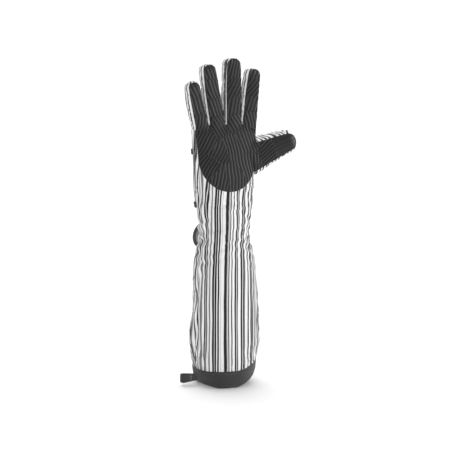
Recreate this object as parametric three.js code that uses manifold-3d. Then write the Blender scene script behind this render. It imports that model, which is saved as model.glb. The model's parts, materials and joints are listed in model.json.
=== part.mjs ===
// A long heat resistant glove for the right hand, standing on its cuff.
// Millimetres. +Z runs up from the cuff to the fingertips, the palm faces -Y, the thumb points to +X.
// The glove is drawn around the sleeve's axis and moved at the end, so that its origin is the middle of
// its bounding box at the table.

import * as THREE from 'three';
import { mergeVertices } from 'three/addons/utils/BufferGeometryUtils.js';
import Module from 'manifold-3d';

const wasm = await Module();
wasm.setup();

// ---- Driving sizes -------------------------------------------------------------------------------

// Heights along the glove.
const SLEEVE_LENGTH = 238; // from the table to the wrist joint
const PALM_LENGTH = 130; // from the wrist joint to the webs between the fingers
const CUFF_HEIGHT = 25;

// Layers of the wall, from the outside in.
const SHELL_THICKNESS = 1.6;
const LINING_THICKNESS = 1.5;
const GRIP_THICKNESS = 1.2; // silicone standing on the shell
const FIT_GAP = 0.3; // between pieces that touch
const JOINT_GAP = 0.5; // between the two sides of a bend

// Half width, half depth and sideways shift of the arm at a share of the sleeve's length.
const SLEEVE_SECTIONS = [
  { share: 0.0, halfWidth: 40.5, halfDepth: 37.5, shift: 0 },
  { share: 0.1, halfWidth: 43.5, halfDepth: 39.5, shift: 0 },
  { share: 0.25, halfWidth: 48.5, halfDepth: 41, shift: -0.5 },
  { share: 0.5, halfWidth: 48.5, halfDepth: 40, shift: 1 },
  { share: 0.72, halfWidth: 43, halfDepth: 36, shift: 0 },
  { share: 0.86, halfWidth: 37, halfDepth: 31, shift: -1.5 },
  { share: 0.93, halfWidth: 36, halfDepth: 29, shift: -2 },
  { share: 1.0, halfWidth: 37.5, halfDepth: 27.5, shift: -2.5 },
];
// The same for the hand, at a share of the palm's length above the wrist joint.
const PALM_SECTIONS = [
  { share: 0.14, halfWidth: 39.5, halfDepth: 26, shift: -1 },
  { share: 0.32, halfWidth: 43.5, halfDepth: 24, shift: 0.5 },
  { share: 0.58, halfWidth: 44.5, halfDepth: 21, shift: 1 },
  { share: 0.8, halfWidth: 45.5, halfDepth: 18, shift: -0.5 },
  { share: 0.95, halfWidth: 46, halfDepth: 15.5, shift: -1 },
];
const WEB_ROUNDING = 6; // the palm's rounded end between the fingers
const WEB_SLOPE = 0.09; // the webs rise towards the index finger

// Fingers and thumb. across and up place the root's middle from the middle of the webs, lean is the
// angle from +Z towards +X in degrees, and length runs from the root to the tip. root and tip are the
// digit's width at its root and where its tip begins to round, as shares of halfWidth.
const DIGITS = [
  {
    name: 'pinky', across: -36.5, up: 0, lean: -12.5, length: 60,
    halfWidth: 10, halfDepth: 11, root: 1.12, tip: 0.88,
  },
  {
    name: 'ring', across: -13, up: 0, lean: -10, length: 83.5,
    halfWidth: 11.4, halfDepth: 12, root: 1.06, tip: 0.88,
  },
  {
    name: 'middle', across: 10.8, up: 0, lean: -1, length: 91,
    halfWidth: 12.4, halfDepth: 12, root: 1.02, tip: 0.88,
  },
  {
    name: 'index', across: 34, up: 0, lean: 4.5, length: 77,
    halfWidth: 10.8, halfDepth: 12, root: 1.06, tip: 0.88,
  },
  {
    name: 'thumb', across: 43.5, up: -45, lean: 69, length: 65,
    halfWidth: 17, halfDepth: 14, root: 1.42, tip: 0.88,
  },
];
const ROOT_DEPTH = 1.15; // a digit's depth at its root, times its half depth
const TIP_DEPTH = 0.88; // and where its tip begins to round
const TIP_ROUNDING = 0.85; // the length of a digit's round tip, times its half width
const ROOT_TAPER = 0.25; // share of a finger's length in which its wider root ends
const TIP_TAPER = 0.55; // and from which it narrows to its tip
const ROOT_SINK = 26; // how far a digit's form starts inside the hand
const FORWARD_CURVE = 5; // how far a digit's tip leans to the palm side
const KNUCKLE_HEIGHT = 11; // a finger's first bend above its root
const THUMB_JOINT_HEIGHT = 13;
const MIDDLE_JOINT_SHARE = 0.55; // a digit's second bend, as a share of its length

// Grip panels.
const GRIP_PALM_HALF_WIDTH = 42.5;
const GRIP_PALM_SHIFT = 1;
const GRIP_PALM_BOTTOM = 37; // above the wrist joint
const GRIP_PALM_SPRING = 84; // where the round lower end begins, above the wrist joint
const GRIP_THUMB_TURN = 0.17; // where its round end leaves for the thumb, in half turns before level
const GRIP_PALM_TOP_MARGIN = 3; // below the webs
const GRIP_PALM_FRONT = -4; // the panel stays in front of this plane
const GRIP_FINGER_WIDTH = 0.82; // share of a finger's half width
const GRIP_THUMB_WIDTH = 0.7;
const GRIP_DIGIT_FRONT = 0.45; // share of a digit's half depth
const GRIP_TIP_MARGIN = 2;
const GRIP_CLEARANCE = 2; // the hand's pieces are cut this far outside a digit's grip

// Wrist.
const WRIST_BEND = 20; // each side of the wrist is mitred by this, in degrees
const GATHER_HALF_HEIGHT = 1.6; // of the gathered ring where its sides are lowest
const ELASTIC_HEIGHT = 20;
const ELASTIC_THICKNESS = 0.6;
const ELASTIC_BELOW_WRIST = 26; // its middle

// Padded panel on the back of the hand.
const PANEL_LOW = 22; // above the wrist joint
const PANEL_HIGH = 88;
const PANEL_THICKNESS = 1.9;
const PANEL_RIGHT = 34;
const BINDING_HEIGHT = 7.5;
const BINDING_THICKNESS = 2.6;

// Round badge on the back of the wrist.
const BADGE_RADIUS = 19;
const BADGE_RIM = 4.2;
const BADGE_THICKNESS = 2.4;
const BADGE_FACE_SUNK = 0.6; // its face lies below its rim
const BADGE_ACROSS = -22;
const BADGE_BELOW_WRIST = 29;

// Hanging loop of folded webbing.
const LOOP_LENGTH = 22;
const LOOP_HEIGHT = 12.5;
const LOOP_THICKNESS = 1.8;
const LOOP_OPENING = 6;
const LOOP_UP = 4.5; // its lower edge above the table

// Shape of the sections: 2 is an ellipse, and higher numbers are squarer.
const SLEEVE_SQUARENESS = 2.2;
const HAND_SQUARENESS = 2.5;
const ARM_SIDES = 24;
const DIGIT_SIDES = 12;
const DISC_SEGMENTS = 12;
const OUTLINE_SEGMENTS = 10;
const LOOP_SEGMENTS = 6;
const CAP_STEPS = 3;
const PALM_CAP_TURN = 0.46 * Math.PI; // how far round the last ring of the palm's end lies
const TIP_CAP_TURN = 0.47 * Math.PI; // and the last ring of a digit's tip
const BELOW_TABLE = 10; // the forms start this far below the table
const BAND_PROUD = 1; // the cuff band stands outside the shell
const BAND_INSIDE = 0.5; // and inside the lining
const FAR = 300; // larger than any half size of the glove
const REACH = 60; // past the widest digit

// ---- Finishes ------------------------------------------------------------------------------------

const FINISHES = {
  striped: { color: 0xb9b9b9, roughness: 0.9, metalness: 0 },
  silicone: { color: 0x3a3a3b, roughness: 0.55, metalness: 0 },
  smooth_silicone: { color: 0x2c2c2d, roughness: 0.5, metalness: 0 },
  lining: { color: 0x8c8c8a, roughness: 0.95, metalness: 0 },
  black_webbing: { color: 0x262627, roughness: 0.85, metalness: 0 },
  elastic: { color: 0xd8d8d4, roughness: 0.9, metalness: 0 },
  badge_grey: { color: 0x9b9b9b, roughness: 0.7, metalness: 0 },
};

// ---- Small tools ---------------------------------------------------------------------------------

const WRIST_Z = SLEEVE_LENGTH;
const WEB_Z = WRIST_Z + PALM_LENGTH;
const LINING_OUTER = SHELL_THICKNESS + FIT_GAP;
const LINING_INNER = LINING_OUTER + LINING_THICKNESS;
const GRIP_OUTER = -(FIT_GAP + GRIP_THICKNESS);

const radians = (degrees) => THREE.MathUtils.degToRad(degrees);
const lerp = THREE.MathUtils.lerp;

/** A manifold solid from points and triangle corners. */
function solidFrom(points, corners) {
  const vertProperties = new Float32Array(points.flatMap((p) => [p.x, p.y, p.z]));
  const triVerts = new Uint32Array(corners);
  return new wasm.Manifold(new wasm.Mesh({ numProp: 3, vertProperties, triVerts }));
}

/** A manifold solid from a closed three.js geometry. */
function solidFromGeometry(geometry) {
  const bare = geometry.clone();
  bare.deleteAttribute('normal');
  bare.deleteAttribute('uv');
  const merged = mergeVertices(bare, 1e-4);
  const vertProperties = new Float32Array(merged.attributes.position.array);
  const triVerts = new Uint32Array(merged.index.array);
  return new wasm.Manifold(new wasm.Mesh({ numProp: 3, vertProperties, triVerts }));
}

/** Closed solid through rings that share one point count, each turning left about the way they go. */
function loft(rings) {
  const count = rings[0].length;
  const middle = (ring) => ring.reduce((sum, p) => sum.add(p), new THREE.Vector3()).divideScalar(count);
  const points = [...rings.flat(), middle(rings[0]), middle(rings[rings.length - 1])];
  const startMiddle = points.length - 2;
  const endMiddle = points.length - 1;
  const lastRing = (rings.length - 1) * count;
  const corners = [];
  for (let side = 0; side < count; side += 1) {
    const next = (side + 1) % count;
    for (let ring = 0; ring < rings.length - 1; ring += 1) {
      const low = ring * count;
      const high = low + count;
      corners.push(low + side, low + next, high + next);
      corners.push(low + side, high + next, high + side);
    }
    corners.push(startMiddle, next, side);
    corners.push(endMiddle, lastRing + side, lastRing + next);
  }
  return solidFrom(points, corners);
}

/** Points of a rounded section, from its half sizes, in the plane of across and deep. */
function roundedRing({ centre, across, deep, halfWidth, halfDepth, sides, squareness }) {
  return Array.from({ length: sides }, (unused, index) => {
    const turn = (2 * Math.PI * index) / sides;
    const x = halfWidth * Math.sign(Math.cos(turn)) * Math.abs(Math.cos(turn)) ** (2 / squareness);
    const y = halfDepth * Math.sign(Math.sin(turn)) * Math.abs(Math.sin(turn)) ** (2 / squareness);
    return centre.clone().addScaledVector(across, x).addScaledVector(deep, y);
  });
}

/** A box solid between two corners. */
function boxBetween(low, high) {
  const size = new THREE.Vector3().subVectors(high, low);
  const geometry = new THREE.BoxGeometry(size.x, size.y, size.z);
  const middle = new THREE.Vector3().addVectors(low, high).multiplyScalar(0.5);
  geometry.translate(middle.x, middle.y, middle.z);
  return solidFromGeometry(geometry);
}

/** The slab between two heights. */
function slab(low, high) {
  return boxBetween(new THREE.Vector3(-FAR, -FAR, low), new THREE.Vector3(FAR, FAR, high));
}

/** An outline in the XZ plane, given as [x, z] points, made solid from one depth to another. */
function frontOutline(shape, nearY, farY) {
  const geometry = new THREE.ExtrudeGeometry(shape, {
    depth: farY - nearY,
    bevelEnabled: false,
    curveSegments: OUTLINE_SEGMENTS,
  });
  geometry.rotateX(Math.PI / 2);
  geometry.translate(0, farY, 0);
  return solidFromGeometry(geometry);
}

/** An outline in the YZ plane made solid right across the glove. */
function sideOutline(points) {
  const shape = new THREE.Shape(points.map(([y, z]) => new THREE.Vector2(y, z)));
  const geometry = new THREE.ExtrudeGeometry(shape, { depth: 2 * FAR, bevelEnabled: false });
  geometry.applyMatrix4(new THREE.Matrix4().set(0, 0, 1, -FAR, 1, 0, 0, 0, 0, 1, 0, 0, 0, 0, 0, 1));
  return solidFromGeometry(geometry);
}

// ---- Forms ---------------------------------------------------------------------------------------

const X_AXIS = new THREE.Vector3(1, 0, 0);
const Y_AXIS = new THREE.Vector3(0, 1, 0);

/** Sections of the whole arm and hand, from below the table to the webs. */
function armSections() {
  const below = { ...SLEEVE_SECTIONS[0], z: -BELOW_TABLE };
  const sleeve = SLEEVE_SECTIONS.map((section) => ({ ...section, z: section.share * SLEEVE_LENGTH }));
  const palm = PALM_SECTIONS.map((section) => ({ ...section, z: WRIST_Z + section.share * PALM_LENGTH }));
  return [below, ...sleeve, ...palm];
}

/** The arm and hand without digits, drawn in by inset. */
function armForm(inset) {
  const ringAt = (section, scale, z) => {
    const halfWidth = (section.halfWidth - inset) * scale;
    const ring = roundedRing({
      centre: new THREE.Vector3(section.shift, 0, z),
      across: X_AXIS,
      deep: Y_AXIS,
      halfWidth,
      halfDepth: (section.halfDepth - inset) * scale,
      sides: ARM_SIDES,
      squareness: z > WRIST_Z ? HAND_SQUARENESS : SLEEVE_SQUARENESS,
    });
    const slope = z > WRIST_Z ? (WEB_SLOPE * (z - WRIST_Z)) / PALM_LENGTH : 0;
    ring.forEach((point) => {
      point.z += slope * point.x;
    });
    return ring;
  };
  const sections = armSections();
  const rings = sections.map((section) => ringAt(section, 1, section.z));
  const top = sections[sections.length - 1];
  const rounding = WEB_Z - inset - top.z;
  for (let step = 1; step <= CAP_STEPS; step += 1) {
    const turn = (step / CAP_STEPS) * PALM_CAP_TURN;
    const draw = 1 - (WEB_ROUNDING / top.halfDepth) * (1 - Math.cos(turn));
    rings.push(ringAt(top, draw, top.z + rounding * Math.sin(turn)));
  }
  return loft(rings);
}

/** A finger or thumb, with its own directions and sizes along its length. */
class Digit {
  constructor(sizes) {
    Object.assign(this, sizes);
    const lean = radians(this.lean);
    this.along = new THREE.Vector3(Math.sin(lean), 0, Math.cos(lean));
    this.across3 = new THREE.Vector3(Math.cos(lean), 0, -Math.sin(lean));
    this.rootPoint = new THREE.Vector3(this.across, 0, WEB_Z + this.up);
    this.isThumb = this.name === 'thumb';
    this.firstBend = this.isThumb ? THUMB_JOINT_HEIGHT : KNUCKLE_HEIGHT;
    this.secondBend = this.length * MIDDLE_JOINT_SHARE;
    this.tipStart = this.length - this.halfWidth * TIP_ROUNDING;
  }

  /** Middle of the section at a distance along the digit. */
  middle(distance) {
    const forward = FORWARD_CURVE * Math.max(distance / this.length, 0) ** 2;
    return this.rootPoint.clone().addScaledVector(this.along, distance).addScaledVector(Y_AXIS, -forward);
  }

  halfWidthAt(distance) {
    const share = THREE.MathUtils.clamp(distance / this.tipStart, 0, 1);
    if (this.isThumb) return this.halfWidth * lerp(this.root, this.tip, share);
    const towardsRoot = lerp(this.root, 1, Math.min(share / ROOT_TAPER, 1));
    const towardsTip = lerp(1, this.tip, Math.max(share - TIP_TAPER, 0) / (1 - TIP_TAPER));
    return this.halfWidth * towardsRoot * towardsTip;
  }

  halfDepthAt(distance) {
    const share = THREE.MathUtils.clamp(distance / this.tipStart, 0, 1);
    return this.halfDepth * lerp(ROOT_DEPTH, TIP_DEPTH, share);
  }

  ring(distance, inset, scale = 1) {
    return roundedRing({
      centre: this.middle(distance),
      across: this.across3,
      deep: Y_AXIS,
      halfWidth: (this.halfWidthAt(distance) - inset) * scale,
      halfDepth: (this.halfDepthAt(distance) - inset) * scale,
      sides: DIGIT_SIDES,
      squareness: HAND_SQUARENESS,
    });
  }

  /** The digit's form with a round tip, drawn in by inset. */
  form(inset) {
    const straight = [-ROOT_SINK, 0, this.firstBend, this.secondBend, this.tipStart];
    const rings = straight.map((distance) => this.ring(distance, inset));
    const rounding = this.length - inset - this.tipStart;
    for (let step = 1; step <= CAP_STEPS; step += 1) {
      const turn = (step / CAP_STEPS) * TIP_CAP_TURN;
      rings.push(this.ring(this.tipStart + rounding * Math.sin(turn), inset, Math.cos(turn)));
    }
    return loft(rings);
  }

  /** One layer of the digit's wall between two distances along it. */
  layer(outerInset, innerInset, from, to) {
    return this.form(outerInset).subtract(this.form(innerInset)).intersect(this.reach(from, to));
  }

  /** Everything around the digit between two distances along it. */
  reach(from, to) {
    const low = this.rootPoint.clone().addScaledVector(this.along, from);
    const high = this.rootPoint.clone().addScaledVector(this.along, to);
    const squareRing = (centre) => [[-1, -1], [1, -1], [1, 1], [-1, 1]].map(([x, y]) => (
      centre.clone().addScaledVector(this.across3, x * REACH).addScaledVector(Y_AXIS, y * REACH)
    ));
    return loft([squareRing(low), squareRing(high)]);
  }

  /** The front of the digit that its grip panel may cover. */
  gripZone() {
    const end = this.length - GRIP_TIP_MARGIN;
    const width = this.isThumb ? GRIP_THUMB_WIDTH : GRIP_FINGER_WIDTH;
    const stations = [-ROOT_SINK / 2, this.firstBend, this.secondBend, this.tipStart, end];
    return loft(stations.map((distance) => {
      const half = this.halfWidthAt(distance) * width;
      const back = -this.halfDepthAt(distance) * GRIP_DIGIT_FRONT;
      return [[-half, -REACH], [half, -REACH], [half, back], [-half, back]].map(([x, y]) => (
        this.middle(distance).addScaledVector(this.across3, x).addScaledVector(Y_AXIS, y)
      ));
    }));
  }
}

const digits = DIGITS.map((sizes) => new Digit(sizes));

/** The whole glove's form, drawn in by inset. */
function gloveForm(inset) {
  return digits.reduce((form, digit) => form.add(digit.form(inset)), armForm(inset));
}

/** What belongs to the digits above their first bend, with room around it. */
function digitsBeyond(gap) {
  const clearance = GRIP_OUTER - GRIP_CLEARANCE;
  const beyond = digits.map((digit) => digit.form(clearance).intersect(
    digit.reach(digit.firstBend - gap, digit.length + REACH),
  ));
  return beyond.reduce((all, one) => all.add(one));
}

/** Above or below the wrist's mitre; offset is the distance from the hinge line at the sides. */
function wristSide(direction, offset) {
  const rise = FAR * Math.tan(radians(WRIST_BEND));
  const edge = (y) => WRIST_Z + direction * (offset + (y === 0 ? 0 : rise));
  const limit = WRIST_Z + direction * 2 * FAR;
  return sideOutline([[-FAR, edge(-FAR)], [0, edge(0)], [FAR, edge(FAR)], [FAR, limit], [-FAR, limit]]);
}

// ---- Pieces --------------------------------------------------------------------------------------

const glove = new THREE.Group();

/** Adds a solid to the glove as a named mesh. */
function addPiece(name, solid, finish) {
  const mesh = solid.getMesh();
  const geometry = new THREE.BufferGeometry();
  geometry.setAttribute('position', new THREE.BufferAttribute(mesh.vertProperties, 3));
  geometry.setIndex(new THREE.BufferAttribute(mesh.triVerts, 1));
  geometry.computeVertexNormals();
  const piece = new THREE.Mesh(geometry, new THREE.MeshStandardMaterial(FINISHES[finish]));
  piece.name = name;
  glove.add(piece);
}

/** One layer of the arm and the roots of the digits. */
function gloveLayer(outerInset, innerInset) {
  return gloveForm(outerInset).subtract(gloveForm(innerInset));
}

/** Sleeve: shell, lining, the elastic between them and the cuff band. */
function addSleeve() {
  const aboveCuff = slab(CUFF_HEIGHT + FIT_GAP, WRIST_Z);
  const belowWrist = wristSide(-1, GATHER_HALF_HEIGHT + FIT_GAP).intersect(aboveCuff);
  const shell = armForm(0).subtract(armForm(SHELL_THICKNESS));
  addPiece('sleeve_shell', shell.intersect(belowWrist), 'striped');

  const elasticMiddle = WRIST_Z - ELASTIC_BELOW_WRIST;
  const elasticOuter = SHELL_THICKNESS + FIT_GAP;
  const elasticInner = elasticOuter + ELASTIC_THICKNESS;
  const elasticRing = armForm(elasticOuter).subtract(armForm(elasticInner));
  const elasticSlab = slab(elasticMiddle - ELASTIC_HEIGHT / 2, elasticMiddle + ELASTIC_HEIGHT / 2);
  addPiece('wrist_elastic', elasticRing.intersect(elasticSlab), 'elastic');

  const grooveSlab = slab(
    elasticMiddle - ELASTIC_HEIGHT / 2 - FIT_GAP,
    elasticMiddle + ELASTIC_HEIGHT / 2 + FIT_GAP,
  );
  const groove = armForm(0).subtract(armForm(elasticInner + FIT_GAP)).intersect(grooveSlab);
  const lining = armForm(LINING_OUTER).subtract(armForm(LINING_INNER)).subtract(groove);
  addPiece('sleeve_lining', lining.intersect(belowWrist), 'lining');

  const band = armForm(-BAND_PROUD).subtract(armForm(LINING_INNER + BAND_INSIDE));
  addPiece('cuff_band', band.intersect(slab(0, CUFF_HEIGHT)), 'black_webbing');
}

/** The gathered ring of shell fabric that folds as the wrist bends. */
function addWristGather() {
  const ring = armForm(0).subtract(armForm(SHELL_THICKNESS));
  const nearWrist = ring.intersect(slab(WRIST_Z - REACH, WRIST_Z + REACH));
  const gather = nearWrist
    .subtract(wristSide(-1, GATHER_HALF_HEIGHT))
    .subtract(wristSide(1, GATHER_HALF_HEIGHT));
  addPiece('wrist_gather', gather, 'striped');
}

/** The palm's grip outline, with a round lower end that opens out to the thumb. */
function palmGripZone() {
  const spring = WRIST_Z + GRIP_PALM_SPRING;
  const drop = GRIP_PALM_SPRING - GRIP_PALM_BOTTOM;
  const top = WEB_Z - GRIP_PALM_TOP_MARGIN;
  const left = GRIP_PALM_SHIFT - GRIP_PALM_HALF_WIDTH;
  const turnOff = (2 - GRIP_THUMB_TURN) * Math.PI;
  const shape = new THREE.Shape();
  shape.moveTo(REACH, top);
  shape.lineTo(left, top);
  shape.lineTo(left, spring);
  shape.absellipse(GRIP_PALM_SHIFT, spring, GRIP_PALM_HALF_WIDTH, drop, Math.PI, turnOff, false);
  shape.lineTo(REACH, spring + drop * Math.sin(turnOff));
  const palm = frontOutline(shape, -REACH, GRIP_PALM_FRONT);
  return digits.reduce((zone, digit) => zone.add(digit.gripZone()), palm);
}

/** Hand: shell, lining and the palm's grip panel. */
function addHand() {
  const aboveWrist = wristSide(1, GATHER_HALF_HEIGHT + FIT_GAP);
  const beyond = digitsBeyond(JOINT_GAP / 2);
  const keep = (layer) => layer.intersect(aboveWrist).subtract(beyond);
  addPiece('hand_shell', keep(gloveLayer(0, SHELL_THICKNESS)), 'striped');
  addPiece('hand_lining', keep(gloveLayer(LINING_OUTER, LINING_INNER)), 'lining');
  addPiece('palm_grip', keep(gloveLayer(GRIP_OUTER, -FIT_GAP)).intersect(palmGripZone()), 'silicone');
}

/** A digit's two segments, each with a shell, a lining and a grip panel. */
function addDigit(digit) {
  const half = JOINT_GAP / 2;
  const segments = [
    { part: 'base', from: digit.firstBend + half, to: digit.secondBend - half },
    { part: 'tip', from: digit.secondBend + half, to: digit.length + REACH },
  ];
  segments.forEach(({ part, from, to }) => {
    const isPatch = digit.isThumb && part === 'tip';
    const gripFinish = isPatch ? 'smooth_silicone' : 'silicone';
    const grip = digit.layer(GRIP_OUTER, -FIT_GAP, from, to).intersect(digit.gripZone());
    addPiece(`${digit.name}_${part}_shell`, digit.layer(0, SHELL_THICKNESS, from, to), 'striped');
    addPiece(`${digit.name}_${part}_lining`, digit.layer(LINING_OUTER, LINING_INNER, from, to), 'lining');
    addPiece(`${digit.name}_${part}_grip`, grip, gripFinish);
  });
}

/** The padded panel on the back of the hand, with a binding along its upper and lower edge. */
function addBackPanel() {
  const cover = (thickness, low, high) => {
    const behind = boxBetween(
      new THREE.Vector3(-FAR, 0, WRIST_Z + low),
      new THREE.Vector3(PANEL_RIGHT, FAR, WRIST_Z + high),
    );
    return armForm(-FIT_GAP - thickness).subtract(armForm(-FIT_GAP)).intersect(behind);
  };
  addPiece('back_panel', cover(PANEL_THICKNESS, PANEL_LOW, PANEL_HIGH), 'striped');
  const lowTop = PANEL_LOW - FIT_GAP;
  const highBottom = PANEL_HIGH + FIT_GAP;
  const lower = cover(BINDING_THICKNESS, lowTop - BINDING_HEIGHT, lowTop);
  const upper = cover(BINDING_THICKNESS, highBottom, highBottom + BINDING_HEIGHT);
  addPiece('panel_binding_lower', lower, 'black_webbing');
  addPiece('panel_binding_upper', upper, 'black_webbing');
}

/** A round disc or ring that faces the back of the glove. */
function disc(outerRadius, innerRadius, nearY, thickness, z) {
  const shape = new THREE.Shape();
  shape.absarc(0, 0, outerRadius, 0, 2 * Math.PI, false);
  if (innerRadius > 0) {
    const hole = new THREE.Path();
    hole.absarc(0, 0, innerRadius, 0, 2 * Math.PI, true);
    shape.holes.push(hole);
  }
  const geometry = new THREE.ExtrudeGeometry(shape, {
    depth: thickness,
    bevelEnabled: false,
    curveSegments: DISC_SEGMENTS,
  });
  geometry.rotateX(Math.PI / 2);
  geometry.translate(BADGE_ACROSS, nearY + thickness, z);
  return solidFromGeometry(geometry);
}

/** The round plain badge, a rim around a face. */
function addBadge() {
  const z = WRIST_Z - BADGE_BELOW_WRIST;
  const reach = boxBetween(
    new THREE.Vector3(BADGE_ACROSS - BADGE_RADIUS, 0, z - BADGE_RADIUS),
    new THREE.Vector3(BADGE_ACROSS + BADGE_RADIUS, FAR, z + BADGE_RADIUS),
  );
  const nearY = armForm(0).intersect(reach).boundingBox().max[1] + FIT_GAP;
  const faceRadius = BADGE_RADIUS - BADGE_RIM;
  const face = disc(faceRadius - FIT_GAP, 0, nearY, BADGE_THICKNESS - BADGE_FACE_SUNK, z);
  addPiece('badge_rim', disc(BADGE_RADIUS, faceRadius, nearY, BADGE_THICKNESS, z), 'black_webbing');
  addPiece('badge_face', face, 'badge_grey');
}

/** The webbing loop, folded round its opening, with a round root that turns beside the cuff band. */
function addLoop() {
  const outerHalf = LOOP_OPENING / 2 + LOOP_THICKNESS;
  const besideLoop = slab(LOOP_UP, LOOP_UP + LOOP_HEIGHT);
  const bandEdge = armForm(-BAND_PROUD).intersect(besideLoop).boundingBox().min[0];
  const pivotX = bandEdge - FIT_GAP - outerHalf;
  const foldX = bandEdge - FIT_GAP - LOOP_LENGTH + outerHalf;
  const rounded = (path, half, clockwise) => {
    const [first, second] = clockwise ? [foldX, pivotX] : [pivotX, foldX];
    const turn = clockwise ? -Math.PI : Math.PI;
    const start = -Math.PI / 2;
    path.absarc(first, 0, half, start, start + turn, clockwise);
    path.absarc(second, 0, half, start + turn, start + 2 * turn, clockwise);
    return path;
  };
  const outline = rounded(new THREE.Shape(), outerHalf, false);
  outline.holes.push(rounded(new THREE.Path(), LOOP_OPENING / 2, true));
  const geometry = new THREE.ExtrudeGeometry(outline, {
    depth: LOOP_HEIGHT,
    bevelEnabled: false,
    curveSegments: LOOP_SEGMENTS,
  });
  geometry.translate(0, 0, LOOP_UP);
  addPiece('hang_loop', solidFromGeometry(geometry), 'black_webbing');
}

addSleeve();
addWristGather();
addHand();
digits.forEach(addDigit);
addBackPanel();
addBadge();
addLoop();

// The origin is the middle of the glove's box at the table.
const box = new THREE.Box3().setFromObject(glove);
const boxMiddle = box.getCenter(new THREE.Vector3());
glove.position.set(-boxMiddle.x, -boxMiddle.y, -box.min.z);

export default glove;
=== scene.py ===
"""Heat resistant glove: the visual model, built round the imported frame.

A long padded gauntlet of striped cloth with a ribbed silicone palm. It stands on its black cuff band.
Lengths are in metres. Every skin is measured off the frame's own nodes, so it follows their sizes.
"""
import sys

import json
import logging
import math
from dataclasses import dataclass, field
from enum import Enum
from typing import Any, Iterable, Optional, Sequence, Union

import bpy
import numpy as np
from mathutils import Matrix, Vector
from mathutils.bvhtree import BVHTree
from mathutils.geometry import delaunay_2d_cdt
from mathutils.kdtree import KDTree


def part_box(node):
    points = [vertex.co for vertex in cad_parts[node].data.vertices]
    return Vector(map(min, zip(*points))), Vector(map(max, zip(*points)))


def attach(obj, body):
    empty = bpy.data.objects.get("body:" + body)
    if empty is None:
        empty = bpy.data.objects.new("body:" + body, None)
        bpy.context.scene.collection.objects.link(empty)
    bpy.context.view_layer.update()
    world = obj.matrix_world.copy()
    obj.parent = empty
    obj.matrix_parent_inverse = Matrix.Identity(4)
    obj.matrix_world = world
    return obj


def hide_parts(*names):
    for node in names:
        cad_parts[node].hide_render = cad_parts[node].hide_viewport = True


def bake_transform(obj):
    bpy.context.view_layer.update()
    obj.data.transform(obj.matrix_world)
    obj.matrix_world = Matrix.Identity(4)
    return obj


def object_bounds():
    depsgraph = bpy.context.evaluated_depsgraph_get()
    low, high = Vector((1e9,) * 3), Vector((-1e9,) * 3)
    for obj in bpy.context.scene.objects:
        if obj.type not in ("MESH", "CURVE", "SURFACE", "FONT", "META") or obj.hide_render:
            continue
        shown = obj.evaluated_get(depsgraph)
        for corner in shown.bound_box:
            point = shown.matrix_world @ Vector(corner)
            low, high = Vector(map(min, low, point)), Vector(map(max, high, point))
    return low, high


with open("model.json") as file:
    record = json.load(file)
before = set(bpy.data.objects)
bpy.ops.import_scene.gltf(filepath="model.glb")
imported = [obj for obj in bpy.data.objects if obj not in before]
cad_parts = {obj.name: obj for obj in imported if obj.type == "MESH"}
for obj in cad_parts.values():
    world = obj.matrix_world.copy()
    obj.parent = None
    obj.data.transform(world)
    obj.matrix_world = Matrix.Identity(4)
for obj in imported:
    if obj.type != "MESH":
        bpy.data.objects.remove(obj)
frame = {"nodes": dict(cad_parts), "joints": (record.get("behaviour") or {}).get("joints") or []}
CAD_LOW, CAD_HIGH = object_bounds()

LOG = logging.getLogger("glove")
MM = 0.001
FAR = 1.0
SEED = 7

Array = np.ndarray
Number = Union[int, float]


class Slot(Enum):
    """The record's material slots."""

    STRIPES = "striped_fabric"
    RIBBED = "ribbed_silicone"
    SMOOTH = "smooth_silicone"
    LINING = "lining"
    WEBBING = "black_webbing"
    ELASTIC = "elastic"
    FELT = "badge_felt"


# ---------------------------------------------------------------- shader maths


class Wire:
    """A shader socket that can stand in a sum."""

    def __init__(self, sheet: "Sheet", socket: bpy.types.NodeSocket) -> None:
        """Keep the socket and the material it belongs to."""
        self.sheet = sheet
        self.socket = socket

    def _math(self, operation: str, *values: Union["Wire", Number]) -> "Wire":
        """Add one Math node.

        Args:
            operation: the Math node's operation.
            values: its inputs in order, wires or numbers.

        Returns:
            The node's output.
        """
        sockets = dict(enumerate(values))
        return self.sheet.node("ShaderNodeMath", {"operation": operation}, sockets)

    def __add__(self, other: Union["Wire", Number]) -> "Wire":
        """Sum."""
        return self._math("ADD", self, other)

    __radd__ = __add__

    def __sub__(self, other: Union["Wire", Number]) -> "Wire":
        """Difference."""
        return self._math("SUBTRACT", self, other)

    def __rsub__(self, other: Number) -> "Wire":
        """Difference from a number."""
        return self._math("SUBTRACT", other, self)

    def __mul__(self, other: Union["Wire", Number]) -> "Wire":
        """Product."""
        return self._math("MULTIPLY", self, other)

    __rmul__ = __mul__

    def sine(self) -> "Wire":
        """Sine of the value in radians."""
        return self._math("SINE", self)

    def ramp(self, low: Union["Wire", Number], high: Union["Wire", Number]) -> "Wire":
        """Smooth rise from 0 at low to 1 at high.

        Args:
            low: where the rise starts.
            high: where it ends.

        Returns:
            The eased value.
        """
        settings = {"interpolation_type": "SMOOTHSTEP", "clamp": True}
        sockets = {"Value": self, "From Min": low, "From Max": high}
        return self.sheet.node("ShaderNodeMapRange", settings, sockets)


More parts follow.
